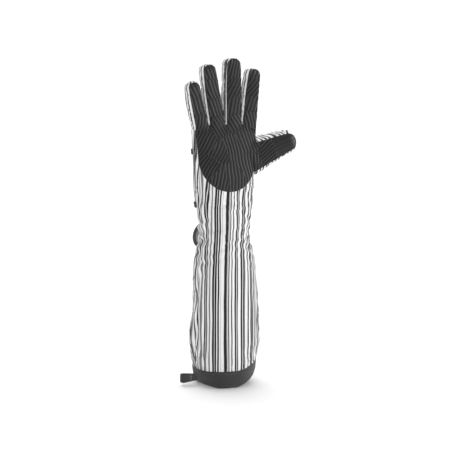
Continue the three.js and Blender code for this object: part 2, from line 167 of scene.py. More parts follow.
class Sheet:
    """A material being put together."""

    def __init__(self, name: str) -> None:
        """Start a material that holds one Principled shader."""
        self.material = bpy.data.materials.new(name)
        self.material.use_nodes = True
        self.tree = self.material.node_tree
        self.shader = self.tree.nodes["Principled BSDF"]

    def node(
        self,
        kind: str,
        settings: Optional[dict[str, Any]] = None,
        sockets: Optional[dict[Any, Any]] = None,
        output: Union[int, str] = 0,
    ) -> Wire:
        """Add any node.

        Args:
            kind: the node's type.
            settings: its properties, set before its sockets.
            sockets: values or wires for its inputs.
            output: which output to hand back.

        Returns:
            The chosen output.
        """
        made = self.tree.nodes.new(kind)
        for key, value in (settings or {}).items():
            setattr(made, key, value)
        for key, value in (sockets or {}).items():
            self.join(made.inputs[key], value)
        return Wire(self, made.outputs[output])

    def join(self, target: bpy.types.NodeSocket, value: Any) -> None:
        """Link a wire to an input, or set the input to a plain value."""
        if isinstance(value, Wire):
            self.tree.links.new(value.socket, target)
        else:
            target.default_value = value

    def other(self, wire: Wire, output: str) -> Wire:
        """Another output of the node that a wire comes from."""
        return Wire(self, wire.socket.node.outputs[output])

    def grain(self) -> tuple[Wire, Wire, Wire]:
        """The piece's own cloth coordinates, in metres.

        Returns:
            The vector, its first value and its second.
        """
        place = self.node("ShaderNodeUVMap", {"uv_map": "Grain"})
        parts = self.node("ShaderNodeSeparateXYZ", None, {0: place})
        return place, parts, self.other(parts, "Y")

    def noise(self, place: Wire, scale: float, detail: float = 2.0) -> Wire:
        """Soft noise from 0 to 1.

        Args:
            place: the coordinates.
            scale: how many spots in a metre.
            detail: how many finer layers.

        Returns:
            The noise value.
        """
        sockets = {"Vector": place, "Scale": scale, "Detail": detail}
        return self.node("ShaderNodeTexNoise", {"noise_dimensions": "3D"}, sockets)

    def stretched(self, place: Wire, across: float, along: float) -> Wire:
        """Coordinates scaled differently in their two directions."""
        settings = {"operation": "MULTIPLY"}
        sockets = {0: place, 1: (across, along, 1.0)}
        return self.node("ShaderNodeVectorMath", settings, sockets)

    def finish(
        self,
        tone: Wire,
        roughness: Union[Wire, float],
        relief: Wire,
        **constants: Any,
    ) -> bpy.types.Material:
        """Close the material.

        Args:
            tone: the grey of its base colour.
            roughness: a wire or one value.
            relief: height for the bump, in metres.
            constants: further sockets of the shader, with _ for a space.

        Returns:
            The finished material.
        """
        self.join(self.shader.inputs["Base Color"], tone)
        self.join(self.shader.inputs["Roughness"], roughness)
        heights = {"Height": relief, "Distance": 1.0, "Strength": 1.0}
        bump = self.node("ShaderNodeBump", None, heights, "Normal")
        self.join(self.shader.inputs["Normal"], bump)
        for key, value in constants.items():
            self.shader.inputs[key.replace("_", " ")].default_value = value
        return self.material


# ---------------------------------------------------------------- finishes


@dataclass(frozen=True)
class StripedCloth:
    """Cotton twill printed with uneven lengthwise stripes."""

    name: str = "striped_cloth"
    pitch: float = 4.1 * MM
    narrowest: float = 0.165
    spread: float = 0.20
    veils: float = 1.0
    wander: float = 0.8 * MM
    white: float = 0.82
    black: float = 0.014
    pair_at: float = -19.5 * MM
    pair_white: float = 4.6 * MM
    pair_black: float = 3.9 * MM
    thread: float = 0.55 * MM
    thread_height: float = 0.07 * MM
    blur: float = 0.03
    veil_spread: float = 0.14
    pair_blur: float = 0.12 * MM

    def make(self) -> bpy.types.Material:
        """Build the material.

        Returns:
            The material.
        """
        sheet = Sheet(self.name)
        place, across, along = sheet.grain()
        drift = sheet.noise(sheet.stretched(place, 30.0, 16.0), 1.0, 1.0) - 0.5
        across_now = across + drift * (2 * self.wander)
        cells = {"W": across_now * (1 / self.pitch), "Scale": 1.0, "Randomness": 0.8}
        setup = {"voronoi_dimensions": "1D", "feature": "F1"}
        away = sheet.node("ShaderNodeTexVoronoi", setup, cells)
        chance = sheet.node("ShaderNodeSeparateColor", None, {0: sheet.other(away, "Color")})
        half = chance * self.spread + self.narrowest
        line = 1 - away.ramp(half - self.blur, half + self.blur)
        ink = sheet.other(chance, "Green").ramp(0.70, 0.74) * 0.17 + self.black
        fine = {"W": across_now * (0.8 / self.pitch) + 40.0, "Scale": 1.0, "Randomness": 1.0}
        away_fine = sheet.node("ShaderNodeTexVoronoi", setup, fine)
        chance_fine = sheet.node("ShaderNodeSeparateColor", None, {0: sheet.other(away_fine, "Color")})
        width = chance_fine * self.veil_spread
        veil = 1 - away_fine.ramp(width + 0.02, width + 0.06)
        strength = sheet.other(chance_fine, "Blue").ramp(0.3, 0.7) * 0.42 + 0.12
        ground = self.white - veil * strength * self.veils
        tone = ground * (1 - line) + ink * line
        edge = self.pair_blur
        white_end = self.pair_at + self.pair_white
        black_end = white_end + self.pair_black
        in_white = across_now.ramp(self.pair_at - edge, self.pair_at + edge)
        past_white = across_now.ramp(white_end - edge, white_end + edge)
        past_black = across_now.ramp(black_end - edge, black_end + edge)
        white_band = in_white * (1 - past_white)
        black_band = past_white * (1 - past_black)
        tone = tone * (1 - white_band) + white_band * self.white
        tone = tone * (1 - black_band) + black_band * self.black
        soil = sheet.noise(place, 26.0, 4.0)
        tone = tone * (soil * 0.16 + 0.92)
        turn = math.tau / self.thread
        twill = ((across + along) * turn).sine() * 0.5 + ((across - along) * (turn * 0.5)).sine() * 0.25
        fluff = sheet.noise(place, 1500.0, 3.0)
        relief = twill * self.thread_height + fluff * (0.12 * MM)
        rough = fluff * 0.14 + 0.78
        sheen = {"Sheen_Weight": 0.25, "Sheen_Roughness": 0.5, "Specular_IOR_Level": 0.3}
        return sheet.finish(tone, rough, relief, **sheen)


@dataclass(frozen=True)
class RibbedSilicone:
    """Dark grey silicone whose raised ribs are rubbed lighter and whose grooves are coloured near black as
    painted shade.
    """

    # groove is the painted shade colour in the grooves; crest is the lighter colour of the rubbed crests
    groove: float = 0.0005
    crest: float = 0.019

    def make(self) -> bpy.types.Material:
        """Build the material.

        Returns:
            The material.
        """
        sheet = Sheet("ribbed_silicone")
        place, _, _ = sheet.grain()
        height = sheet.node("ShaderNodeAttribute", {"attribute_name": "Relief"}, None, "Fac")
        mottle = sheet.noise(place, 60.0, 4.0)
        grit = sheet.noise(place, 2600.0, 2.0)
        # painted shade and wear: the colour follows the rib height, near black in the grooves where shade
        # falls and lighter on the rubbed crests
        tone = height * (self.crest - self.groove) + self.groove
        tone = tone * (mottle * 0.5 + 0.75) + grit * 0.003
        rough = mottle * 0.12 + grit * 0.10 + 0.36
        return sheet.finish(tone, rough, grit * (0.05 * MM), Specular_IOR_Level=0.34)


@dataclass(frozen=True)
class SmoothSilicone:
    """Darker, smoother silicone with faint lengthwise grooves, which are coloured darker as painted shade.
    """

    tone: float = 0.009

    def make(self) -> bpy.types.Material:
        """Build the material.

        Returns:
            The material.
        """
        sheet = Sheet("smooth_silicone")
        place, _, _ = sheet.grain()
        height = sheet.node("ShaderNodeAttribute", {"attribute_name": "Relief"}, None, "Fac")
        mottle = sheet.noise(place, 45.0, 3.0)
        grit = sheet.noise(place, 2600.0, 2.0)
        # painted shade: the Relief height makes the faint grooves darker than the ridges between them
        tone = (mottle * 0.6 + 0.7) * self.tone + height * 0.012
        rough = mottle * 0.12 + 0.40 + grit * 0.08
        return sheet.finish(tone, rough, grit * (0.03 * MM), Specular_IOR_Level=0.30)


@dataclass(frozen=True)
class Webbing:
    """Woven tape: ribs across it, crossed by finer threads along it."""

    name: str
    tone: float = 0.022
    rib: float = 1.15 * MM
    thread: float = 0.6 * MM
    height: float = 0.16 * MM

    def make(self) -> bpy.types.Material:
        """Build the material.

        Returns:
            The material.
        """
        sheet = Sheet(self.name)
        place, across, along = sheet.grain()
        rib = (along * (math.tau / self.rib)).sine()
        thread = (across * (math.tau / self.thread) + rib * 0.8).sine()
        weave = (rib * thread) * 0.5 + 0.5
        fluff = sheet.noise(place, 1300.0, 3.0)
        wear = sheet.noise(place, 55.0, 4.0)
        tone = (weave * 0.7 + 0.65) * (wear * 0.7 + 0.65) * self.tone + fluff * 0.008
        relief = weave * self.height + fluff * (0.10 * MM)
        rough = fluff * 0.16 + 0.68
        return sheet.finish(tone, rough, relief, Sheen_Weight=0.18, Sheen_Roughness=0.45)


@dataclass(frozen=True)
class Fleece:
    """Soft brushed cloth, for linings, felt and sewing thread."""

    name: str
    tone: float
    pile: float = 900.0
    depth: float = 0.25 * MM
    blotch: float = 0.25

    def make(self) -> bpy.types.Material:
        """Build the material.

        Returns:
            The material.
        """
        sheet = Sheet(self.name)
        place, _, _ = sheet.grain()
        pile = sheet.noise(place, self.pile, 4.0)
        patch = sheet.noise(place, 40.0, 3.0)
        tone = (patch * self.blotch + (1 - self.blotch / 2)) * (pile * 0.5 + 0.75) * self.tone
        rough = pile * 0.1 + 0.84
        return sheet.finish(tone, rough, pile * self.depth, Sheen_Weight=0.3, Sheen_Roughness=0.6)


class Finishes:
    """Every material of the glove, made once."""

    def __init__(self) -> None:
        """Build them all."""
        self.stripes = StripedCloth().make()
        fingers = StripedCloth(
            "finger_cloth", pitch=5.2 * MM, wander=0.4 * MM, narrowest=0.17, spread=0.14, veils=0.5
        )
        self.finger_stripes = fingers.make()
        self.ribbed = RibbedSilicone().make()
        self.smooth = SmoothSilicone().make()
        self.webbing = Webbing("cuff_webbing").make()
        self.tape = Webbing("binding_tape", tone=0.02, rib=0.9 * MM, height=0.1 * MM).make()
        self.lining = Fleece("cotton_lining", 0.55).make()
        self.felt = Fleece("badge_felt", 0.30, pile=700.0).make()
        self.elastic = Fleece("elastic_band", 0.45, pile=1500.0).make()
        self.dark_thread = Fleece("dark_thread", 0.03, pile=4000.0, depth=0.05 * MM).make()
        self.pale_thread = Fleece("pale_thread", 0.42, pile=4000.0, depth=0.05 * MM).make()


# ---------------------------------------------------------------- measuring and meshes


class Probe:
    """Feels the outside of some CAD nodes with straight lines."""

    def __init__(self, nodes: Iterable[str]) -> None:
        """Gather the nodes' meshes into one search tree."""
        points: list[Vector] = []
        faces: list[tuple[int, ...]] = []
        for name in nodes:
            mesh = frame["nodes"][name].data
            start = len(points)
            points += [vertex.co.copy() for vertex in mesh.vertices]
            faces += [tuple(start + i for i in face.vertices) for face in mesh.polygons]
        self.tree = BVHTree.FromPolygons(points, faces)

    def touch(self, start: Vector, towards: Vector) -> Optional[Vector]:
        """First point met from outside.

        Args:
            start: a point on the line wanted.
            towards: the direction in which the line is followed.

        Returns:
            The point, or None where the line misses.
        """
        return self.tree.ray_cast(start - towards * FAR, towards)[0]


def smooth_run(values: Array, times: int) -> Array:
    """Even out a run of measures, keeping its two ends."""
    out = values.copy()
    for _ in range(times):
        out[1:-1] = (out[:-2] + 2 * out[1:-1] + out[2:]) / 4
    return out


def ease(value: Array) -> Array:
    """Smooth step of values clipped to 0..1."""
    t = np.clip(value, 0.0, 1.0)
    return t * t * (3 - 2 * t)


def bell(away: Array, width: float) -> Array:
    """1 where away is 0, falling smoothly to both sides."""
    return np.exp(-((away / width) ** 2))


def wrapped(turn: Array, up: Array, stretch: float) -> Array:
    """Places on a round sleeve for noise without a seam, their heights scaled by stretch."""
    return np.stack([np.cos(turn) * 0.05, np.sin(turn) * 0.05, up * stretch], -1)


def squared(value: float, power: float) -> float:
    """A sine or cosine pushed towards 1 and -1, for a squarer outline."""
    return np.sign(value) * abs(value) ** power


def straight(start: Sequence[float], end: Sequence[float], count: int) -> Array:
    """Evenly spaced points from start to end."""
    return np.stack([np.linspace(start[0], end[0], count), np.linspace(start[1], end[1], count)], 1)


def unit(vectors: Array) -> Array:
    """Vectors scaled to length 1."""
    return vectors / np.maximum(np.linalg.norm(vectors, axis=-1, keepdims=True), 1e-12)


def vertex_normals(points: Array, faces: Array) -> Array:
    """Area-weighted normals of a mesh.

    Args:
        points: one row for each vertex.
        faces: one row of indices for each face, all triangles or all quads.

    Returns:
        One unit normal for each vertex.
    """
    corner = points[faces]
    across = corner[:, 2] - corner[:, 0]
    other = corner[:, -1] - corner[:, 1]
    if faces.shape[1] == 3:
        other = corner[:, 2] - corner[:, 1]
        across = corner[:, 1] - corner[:, 0]
    flat = np.cross(across, other)
    out = np.zeros_like(points)
    for k in range(faces.shape[1]):
        np.add.at(out, faces[:, k], flat)
    return unit(out)


def smooth_noise(points: Array, scale: float, seed: int) -> Array:
    """Cheap smooth noise from crossed waves, from about -1 to 1.

    Args:
        points: one row for each place.
        scale: typical length of a wave, in metres.
        seed: picks the waves.

    Returns:
        One value for each row.
    """
    draw = np.random.default_rng(seed)
    out = np.zeros(len(points))
    for _ in range(7):
        direction = draw.normal(size=points.shape[1])
        direction *= draw.uniform(0.6, 1.5) * math.tau / scale / np.linalg.norm(direction)
        out += np.sin(points @ direction + draw.uniform(0, math.tau))
    return out / 4.0


@dataclass
class Cloth:
    """A mesh in plain arrays: points, faces and the grain at each face corner."""

    points: Array
    faces: Array
    grain: Array
    normals: Array = field(default_factory=lambda: np.zeros((0, 3)))

    def refresh(self) -> "Cloth":
        """Work the normals out again from the points."""
        self.normals = vertex_normals(self.points, self.faces)
        return self

    def part(self, keep: Array) -> "Cloth":
        """A cloth of some of the faces, with the whole cloth's normals.

        Args:
            keep: one truth value for each face.

        Returns:
            The smaller cloth.
        """
        faces = self.faces[keep]
        used, index = np.unique(faces, return_inverse=True)
        return Cloth(self.points[used], index.reshape(faces.shape), self.grain[keep], self.normals[used])

    def rims(self) -> Array:
        """Edges with one face, each in its face's direction."""
        count = self.faces.shape[1]
        pairs = np.concatenate([self.faces[:, [k, (k + 1) % count]] for k in range(count)])
        code = pairs.min(1).astype(np.int64) * (len(self.points) + 1) + pairs.max(1)
        _, first, times = np.unique(code, return_index=True, return_counts=True)
        return pairs[first[times == 1]]

    def slab(self, under: Array) -> tuple[Array, list[tuple[int, ...]], list[Array], Array]:
        """Close the cloth into a solid with a given inner surface.

        Args:
            under: the inner surface's points, one for each outer point.

        Returns:
            Points, faces, grain for each face and normals.
        """
        count = len(self.points)
        points = np.concatenate([self.points, under])
        faces = [tuple(row) for row in self.faces.tolist()]
        faces += [tuple(v + count for v in row[::-1]) for row in self.faces.tolist()]
        grain = list(self.grain) + [g[::-1] for g in self.grain]
        place = np.zeros((count, 2))
        place[self.faces.ravel()] = self.grain.reshape(-1, 2)
        for a, b in self.rims().tolist():
            faces.append((b, a, a + count, b + count))
            grain.append(np.array([place[b], place[a], place[a], place[b]]))
        return points, faces, grain, np.concatenate([self.normals, -self.normals])


def build_mesh(
    name: str,
    points: Array,
    faces: Sequence[Sequence[int]],
    grain: Optional[Sequence[Array]],
    material: bpy.types.Material,
    normals: Optional[Array] = None,
) -> bpy.types.Object:
    """Make an object of a mesh.

    Args:
        name: the piece's name.
        points: one row for each vertex.
        faces: vertex indices of each face.
        grain: cloth coordinates at each face's corners.
        material: its finish.
        normals: one shading normal for each vertex, if they are given.

    Returns:
        The new object, linked to the scene.
    """
    mesh = bpy.data.meshes.new(name)
    mesh.from_pydata(points.tolist(), [], [tuple(int(v) for v in f) for f in faces])
    mesh.materials.append(material)
    mesh.polygons.foreach_set("use_smooth", [True] * len(mesh.polygons))
    if grain is not None:
        layer = mesh.uv_layers.new(name="Grain")
        layer.data.foreach_set("uv", np.concatenate([np.asarray(g).ravel() for g in grain]))
    if normals is not None:
        mesh.normals_split_custom_set_from_vertices(normals.tolist())
    mesh.update()
    made = bpy.data.objects.new(name, mesh)
    bpy.context.scene.collection.objects.link(made)
    return made


def tube_faces(rings: int, sides: int) -> Array:
    """Quads of a closed tube, facing outwards for rings turned from the left to the front.

    Args:
        rings: how many rings.
        sides: points in a ring.

    Returns:
        Four indices for each quad.
    """
    ring, side = np.meshgrid(np.arange(rings - 1), np.arange(sides), indexing="ij")
    here = (ring * sides + side).ravel()
    after = (ring * sides + (side + 1) % sides).ravel()
    return np.stack([here, after, after + sides, here + sides], 1)


def outline(half_width: float, half_depth: float, power: float, steps: int) -> tuple[Array, Array]:
    """One quarter of a rounded box's outline, from its side to its face, in even steps.

    Args:
        half_width: reach to the side.
        half_depth: reach to the face.
        power: squareness, 2 for an ellipse.
        steps: how many spaces.

    Returns:
        The points, and how far each is from the middle of the face along the outline.
    """
    angle = np.linspace(0, math.pi / 2, 241)
    x = half_width * np.cos(angle) ** (2 / power)
    y = half_depth * np.sin(angle) ** (2 / power)
    run = np.concatenate([[0], np.cumsum(np.hypot(np.diff(x), np.diff(y)))])
    even = np.linspace(0, run[-1], steps + 1)
    return np.stack([np.interp(even, run, x), np.interp(even, run, y)], 1), run[-1] - even


def all_round(quarter: Array) -> tuple[Array, Array]:
    """A whole outline from one quarter of it, from its left side round by its front.

    Args:
        quarter: the quarter's points, from its side to its face.

    Returns:
        Places across and places in depth.
    """
    side, face = quarter[:, 0], quarter[:, 1]
    across = np.concatenate([-side[:-1], side[::-1][:-1], side[:-1], -side[::-1][:-1]])
    depth = np.concatenate([-face[:-1], -face[::-1][:-1], face[:-1], face[::-1][:-1]])
    return across, depth


@dataclass
class Form:
    """A soft limb measured off the frame: a run of rounded-box sections along a straight line."""

    origin: Array
    along: Array
    across: Array
    stops: Array
    half_width: Array
    half_depth: Array
    middle: Array
    power: float = 2.3
    quarter: int = 24
    step: float = 2.2 * MM
    cap: float = 0.0
    cap_power: float = 0.8
    back_grain: float = 0.31
    pull: float = 0.0
    from_side: bool = False

    def section(self, at: float) -> tuple[float, float, float]:
        """Half width, half depth and the middle's depth place at a distance along the limb.

        Args:
            at: distance from the origin.

        Returns:
            The three measures.
        """
        runs = (self.half_width, self.half_depth, self.middle)
        found = [float(np.interp(at, self.stops, run)) for run in runs]
        if at < self.stops[0]:
            slope = (self.half_width[3] - self.half_width[0]) / (self.stops[3] - self.stops[0])
            found[0] += slope * (at - self.stops[0])
        return found[0], found[1], found[2]

    def rings(self, start: float, end: float) -> tuple[Array, Array]:
        """Stations from start to end, with the scale of each where the cap rounds off.

        Args:
            start: first station.
            end: the tip, or the open end where there is no cap.

        Returns:
            The stations and their scales.
        """
        straight = end - self.cap
        count = max(2, int(round((straight - start) / self.step)))
        stations = np.linspace(start, straight, count + 1)
        scales = np.ones(count + 1)
        if self.cap > 0:
            turns = np.linspace(0, math.pi / 2, 12)[1:]
            stations = np.concatenate([stations, straight + self.cap * np.sin(turns)])
            scales = np.concatenate([scales, np.maximum(np.cos(turns), 0.02) ** self.cap_power])
        return stations, scales

    def cloth(self, start: float, end: float) -> Cloth:
        """Loft the limb.

        Args:
            start: first station.
            end: last station.

        Returns:
            The cloth, closed at its far end where the form has a cap.
        """
        stations, scales = self.rings(start, end)
        straight = end - self.cap
        rows, runs = [], []
        for at, scale in zip(stations, scales):
            half_width, half_depth, middle = self.section(min(at, straight))
            quarter, run = outline(half_width, half_depth, self.power, self.quarter)
            x, y = all_round(quarter * scale)
            drop = self.lean(at) - self.lean(min(at, straight))
            place = self.origin + at * self.along + np.outer(x, self.across)
            place = place + np.outer(y + middle + drop, [0, 1, 0])
            rows.append(place)
            runs.append(run)
        sides = len(rows[0])
        points = np.concatenate(rows)
        faces = tube_faces(len(rows), sides)
        grain = self.grain(stations, runs, sides)
        closed = Cloth(points, faces, grain)
        if self.cap > 0:
            closed = self.close(closed, sides)
        return closed.refresh()

    def lean(self, at: float) -> float:
        """How far the middle lies from the straight line, carried on past the last measure."""
        tail = (self.middle[-1] - self.middle[-4]) / (self.stops[-1] - self.stops[-4])
        return float(np.interp(at, self.stops, self.middle)) + max(at - self.stops[-1], 0.0) * tail

    def grain(self, stations: Array, runs: Sequence[Array], sides: int) -> Array:
        """Cloth coordinates: the distance round, and the distance along.

        The distance round starts at the middle of the face and of the back, or at the two sides where
        from_side is set.

        Args:
            stations: the rings' stations.
            runs: for each ring, how far a quarter's points are from the middle of its face.
            sides: points in a ring.

        Returns:
            Two values at each corner of each face.
        """
        run = np.array(runs)
        deepest = self.half_depth.max()
        slack = np.array([self.pull * (deepest - self.section(float(at))[1]) for at in stations])
        if self.from_side:
            away = run[:, :1] - run
            parts = [away, self.back_grain - away[:, ::-1], self.back_grain + away, -away[:, ::-1]]
        else:
            parts = [-run - slack[:, None], run[:, ::-1] - slack[:, None]]
            parts += [self.back_grain - part for part in parts]
        start = np.concatenate([part[:, :-1] for part in parts], 1)
        finish = np.concatenate([part[:, 1:] for part in parts], 1)
        first = np.stack([start, np.repeat(stations[:, None], sides, 1)], 2)
        second = np.stack([finish, np.repeat(stations[:, None], sides, 1)], 2)
        return np.stack([first[:-1], second[:-1], second[1:], first[1:]], 2).reshape(-1, 4, 2)

    def close(self, cloth: Cloth, sides: int) -> Cloth:
        """Join the last ring straight across, front to back, with a strip of quads.

        Args:
            cloth: the open tube.
            sides: points in a ring.

        Returns:
            The closed cloth.
        """
        base = len(cloth.points) - sides
        half = sides // 2
        faces, grain = [], []
        for k in range(half):
            quad = [base + k, base + k + 1, base + (sides - k - 1) % sides, base + (sides - k) % sides]
            if k == 0:
                quad[3] = quad[2]
            if k == half - 1:
                quad[2] = quad[1]
            faces.append(quad)
            place = cloth.grain[len(cloth.grain) - sides + k, 2]
            grain.append(np.repeat(place[None], 4, 0))
        cloth.faces = np.concatenate([cloth.faces, np.array(faces)])
        cloth.grain = np.concatenate([cloth.grain, np.array(grain)])
        return cloth


# ---------------------------------------------------------------- the glove's forms


@dataclass
class ArmForm:
    """The gauntlet from its cuff to the roots of the fingers."""

    top_round: float = 7.0 * MM
    web_slope: float = 0.09
    slope_from: float = 40.0 * MM
    lowest: float = 26.5 * MM
    below_knuckle: float = 12.0 * MM
    probe_step: float = 5.0 * MM
    pull: float = 0.6

    def form(self) -> Form:
        """Measure the sleeve and the hand.

        Returns:
            The form, from the floor up to the webs.
        """
        low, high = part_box("cuff_band")
        axis_x = (low.x + high.x) / 2
        probe = Probe(["sleeve_shell", "hand_shell"])
        stops, widths, depths, middles = [], [], [], []
        top = frame_joint("middle_curl").z - self.below_knuckle
        for at in np.arange(self.lowest, top, self.probe_step):
            left = probe.touch(Vector((axis_x, 0, at)), Vector((1, 0, 0)))
            front = probe.touch(Vector((axis_x, 0, at)), Vector((0, 1, 0)))
            back = probe.touch(Vector((axis_x, 0, at)), Vector((0, -1, 0)))
            if None in (left, front, back) or left.x > axis_x or front.y > 0 or back.y < 0:
                continue
            stops.append(at)
            widths.append(axis_x - left.x)
            depths.append((back.y - front.y) / 2)
            middles.append((back.y + front.y) / 2)
        return Form(
            origin=np.array([axis_x, 0.0, 0.0]),
            along=np.array([0.0, 0.0, 1.0]),
            across=np.array([1.0, 0.0, 0.0]),
            stops=np.array(stops),
            half_width=smooth_run(np.array(widths), 2),
            half_depth=smooth_run(np.array(depths), 2),
            middle=smooth_run(np.array(middles), 2),
            quarter=30,
            cap=self.top_round,
            pull=self.pull,
        )


def joint_entry(name: str) -> dict[str, Any]:
    """What the frame says of one joint."""
    return next(joint for joint in frame["joints"] if joint["name"] == name)


def frame_joint(name: str) -> Vector:
    """Where a joint's axis passes, in the frame."""
    return Vector(joint_entry(name)["pos_m"])


def joint_axis(name: str) -> Vector:
    """A joint's axis, as a unit vector."""
    return Vector(joint_entry(name)["axis"]).normalized()


@dataclass
class Digit:
    """One finger or the thumb, measured off its two CAD shells."""

    name: str
    first_joint: str
    second_joint: str
    root: float = 17.0 * MM
    rib_turn: float = 0.0
    plump: float = 0.12
    power: float = 2.5
    crosswise: bool = False
    probe_step: float = 2.0 * MM
    least_width: float = 4 * MM
    narrowing: float = 0.965
    before_bend: float = 7.0 * MM
    past_bend: float = 8.0 * MM
    slant: tuple[float, float, float] = (0.85, 0.35, 0.45)
    tip_slant: float = 0.8
    stripe_shift: float = 0.037
    stripe_start: float = 0.4

    def measure(self) -> None:
        """Find the digit's line, its length and its sections."""
        first, second = frame_joint(self.first_joint), frame_joint(self.second_joint)
        across = joint_axis(self.first_joint)
        along = Vector((0, -1, 0)).cross(across).normalized()
        start = Vector((first.x, 0, first.z))
        self.second = (Vector((second.x, 0, second.z)) - start).dot(along)
        tip_mesh = frame["nodes"][f"{self.name}_tip_shell"].data
        self.tip = max((vertex.co - start).dot(along) for vertex in tip_mesh.vertices)
        probe = Probe([f"{self.name}_base_shell", f"{self.name}_tip_shell"])
        stops, widths, depths, middles = [], [], [], []
        for at in np.arange(self.probe_step, self.tip, self.probe_step):
            spot = start + along * at
            front, back = probe.touch(spot, Vector((0, 1, 0))), probe.touch(spot, Vector((0, -1, 0)))
            if None in (front, back) or front.y > 0 or back.y < 0:
                continue
            spot.y = (front.y + back.y) / 2
            left, right = probe.touch(spot, across), probe.touch(spot, -across)
            if None in (left, right):
                continue
            width = (right - left).dot(across) / 2
            if width < self.least_width or (left - spot).dot(across) > 0:
                continue
            if widths and at > self.second and width < self.narrowing * widths[-1]:
                break
            stops.append(at)
            widths.append(width)
            depths.append((back.y - front.y) / 2)
            middles.append((back.y + front.y) / 2)
        cap = self.tip - stops[-1]
        fuller = 1 + self.plump * (0.5 + 0.5 * ease(np.array(stops) / (0.75 * self.tip)))
        self.form = Form(
            origin=np.array(start),
            along=np.array(along),
            across=np.array(across),
            stops=np.array(stops),
            half_width=smooth_run(np.array(widths), 3) * fuller,
            half_depth=smooth_run(np.array(depths), 3) * fuller,
            middle=smooth_run(np.array(middles), 3),
            power=self.power,
            quarter=11,
            step=1.6 * MM,
            cap=cap,
            cap_power=1.0,
            back_grain=0.023 * (3 + len(self.name)),
            from_side=True,
        )
        self.cut = (self.second + self.past_bend) / 2

    def cloth(self) -> Cloth:
        """The digit's skin before it is softened."""
        made = self.form.cloth(-self.root, self.tip)
        if self.crosswise:
            corner = made.points[made.faces]
            past = np.clip(self.stations(corner) - (self.tip - self.form.cap), 0, None)
            side = (corner - self.form.origin) @ self.form.across
            place = corner - past[..., None] * self.form.along
            slanted = place @ np.array(self.slant) + self.tip_slant * side * past / self.form.cap
            made.grain = np.stack([slanted, corner[..., 2]], 2)
        else:
            made.grain = made.grain + np.array([self.stripe_shift * len(self.name), self.stripe_start])
        return made

    def stations(self, points: Array) -> Array:
        """Distance of points along the digit from its first bend."""
        return (points - self.form.origin) @ self.form.along

    def reach(self, at: float) -> tuple[float, float, float]:
        """A point on the digit's line, for a blend's start or end."""
        spot = self.form.origin + self.form.along * at
        return tuple(float(v) for v in spot)

    def zone(self, bend: int) -> tuple[tuple[float, float, float], tuple[float, float, float]]:
        """Start and end of the stretch that turns at a bend.

        Args:
            bend: 1 for the bend at the knuckle, 2 for the one nearer the tip.

        Returns:
            The two points.
        """
        if bend == 1:
            return self.reach(-self.before_bend), self.reach(min(self.past_bend, self.cut))
        low = max(self.second - self.past_bend, self.cut)
        return self.reach(low), self.reach(self.second + self.past_bend)


# ---------------------------------------------------------------- softening


@dataclass
class Softener:
    """Lets skins settle as real cloth for a short while."""

    frames: int = 14
    pressure: float = 3.0
    spread: float = -0.035
    limit: float = 2.6 * MM

    def run(self, skins: Sequence[Cloth], held: Sequence[Array], gathered: Sequence[Array]) -> None:
        """Simulate the skins and write the settled points back into them.

        Args:
            skins: the skins, changed in place.
            held: for each skin, how firmly each point is held, 0 to 1.
            gathered: for each skin, how much spare cloth is gathered at each point, 0 to 1.
        """
        scene = bpy.context.scene
        made = []
        for index, (skin, hold, gather) in enumerate(zip(skins, held, gathered)):
            faces = plain_faces(skin.faces)
            body = build_mesh(f"settling_{index}", skin.points, faces, None, bpy.data.materials[0])
            for title, weights in (("held", hold), ("gathered", gather)):
                group = body.vertex_groups.new(name=title)
                for level in np.unique(np.round(weights, 2)):
                    chosen = np.nonzero(np.round(weights, 2) == level)[0]
                    if level > 0:
                        group.add(chosen.tolist(), float(level), "REPLACE")
            cloth = body.modifiers.new("settle", "CLOTH")
            cloth.point_cache.frame_start = 1
            cloth.point_cache.frame_end = self.frames
            settings = cloth.settings
            settings.quality = 5
            settings.mass = 0.25
            settings.tension_stiffness = 22
            settings.compression_stiffness = 22
            settings.shear_stiffness = 8
            settings.bending_stiffness = 1.2
            settings.air_damping = 2.0
            settings.use_pressure = True
            settings.uniform_pressure_force = self.pressure
            settings.effector_weights.gravity = 0.0
            settings.vertex_group_mass = "held"
            settings.pin_stiffness = 1.0
            settings.vertex_group_shrink = "gathered"
            settings.shrink_min = self.spread
            settings.shrink_max = self.spread * 3.0
            cloth.collision_settings.use_collision = False
            made.append(body)
        for step in range(1, self.frames + 1):
            scene.frame_set(step)
        graph = bpy.context.evaluated_depsgraph_get()
        for body, skin in zip(made, skins):
            settled = body.evaluated_get(graph).data
            points = np.zeros(len(settled.vertices) * 3)
            settled.vertices.foreach_get("co", points)
            move = points.reshape(-1, 3) - skin.points
            size = np.linalg.norm(move, axis=1, keepdims=True)
            share = self.limit * np.tanh(size / self.limit) / np.maximum(size, 1e-9)
            skin.points = skin.points + move * share
            skin.refresh()
        for body in made:
            mesh = body.data
            bpy.data.objects.remove(body)
            bpy.data.meshes.remove(mesh)
        scene.frame_set(1)


def plain_faces(faces: Array) -> list[tuple[int, ...]]:
    """Faces as tuples, with a doubled corner dropped."""
    out = []
    for row in faces.tolist():
        kept = [v for k, v in enumerate(row) if v != row[k - 1]]
        out.append(tuple(kept))
    return out


# ---------------------------------------------------------------- skins


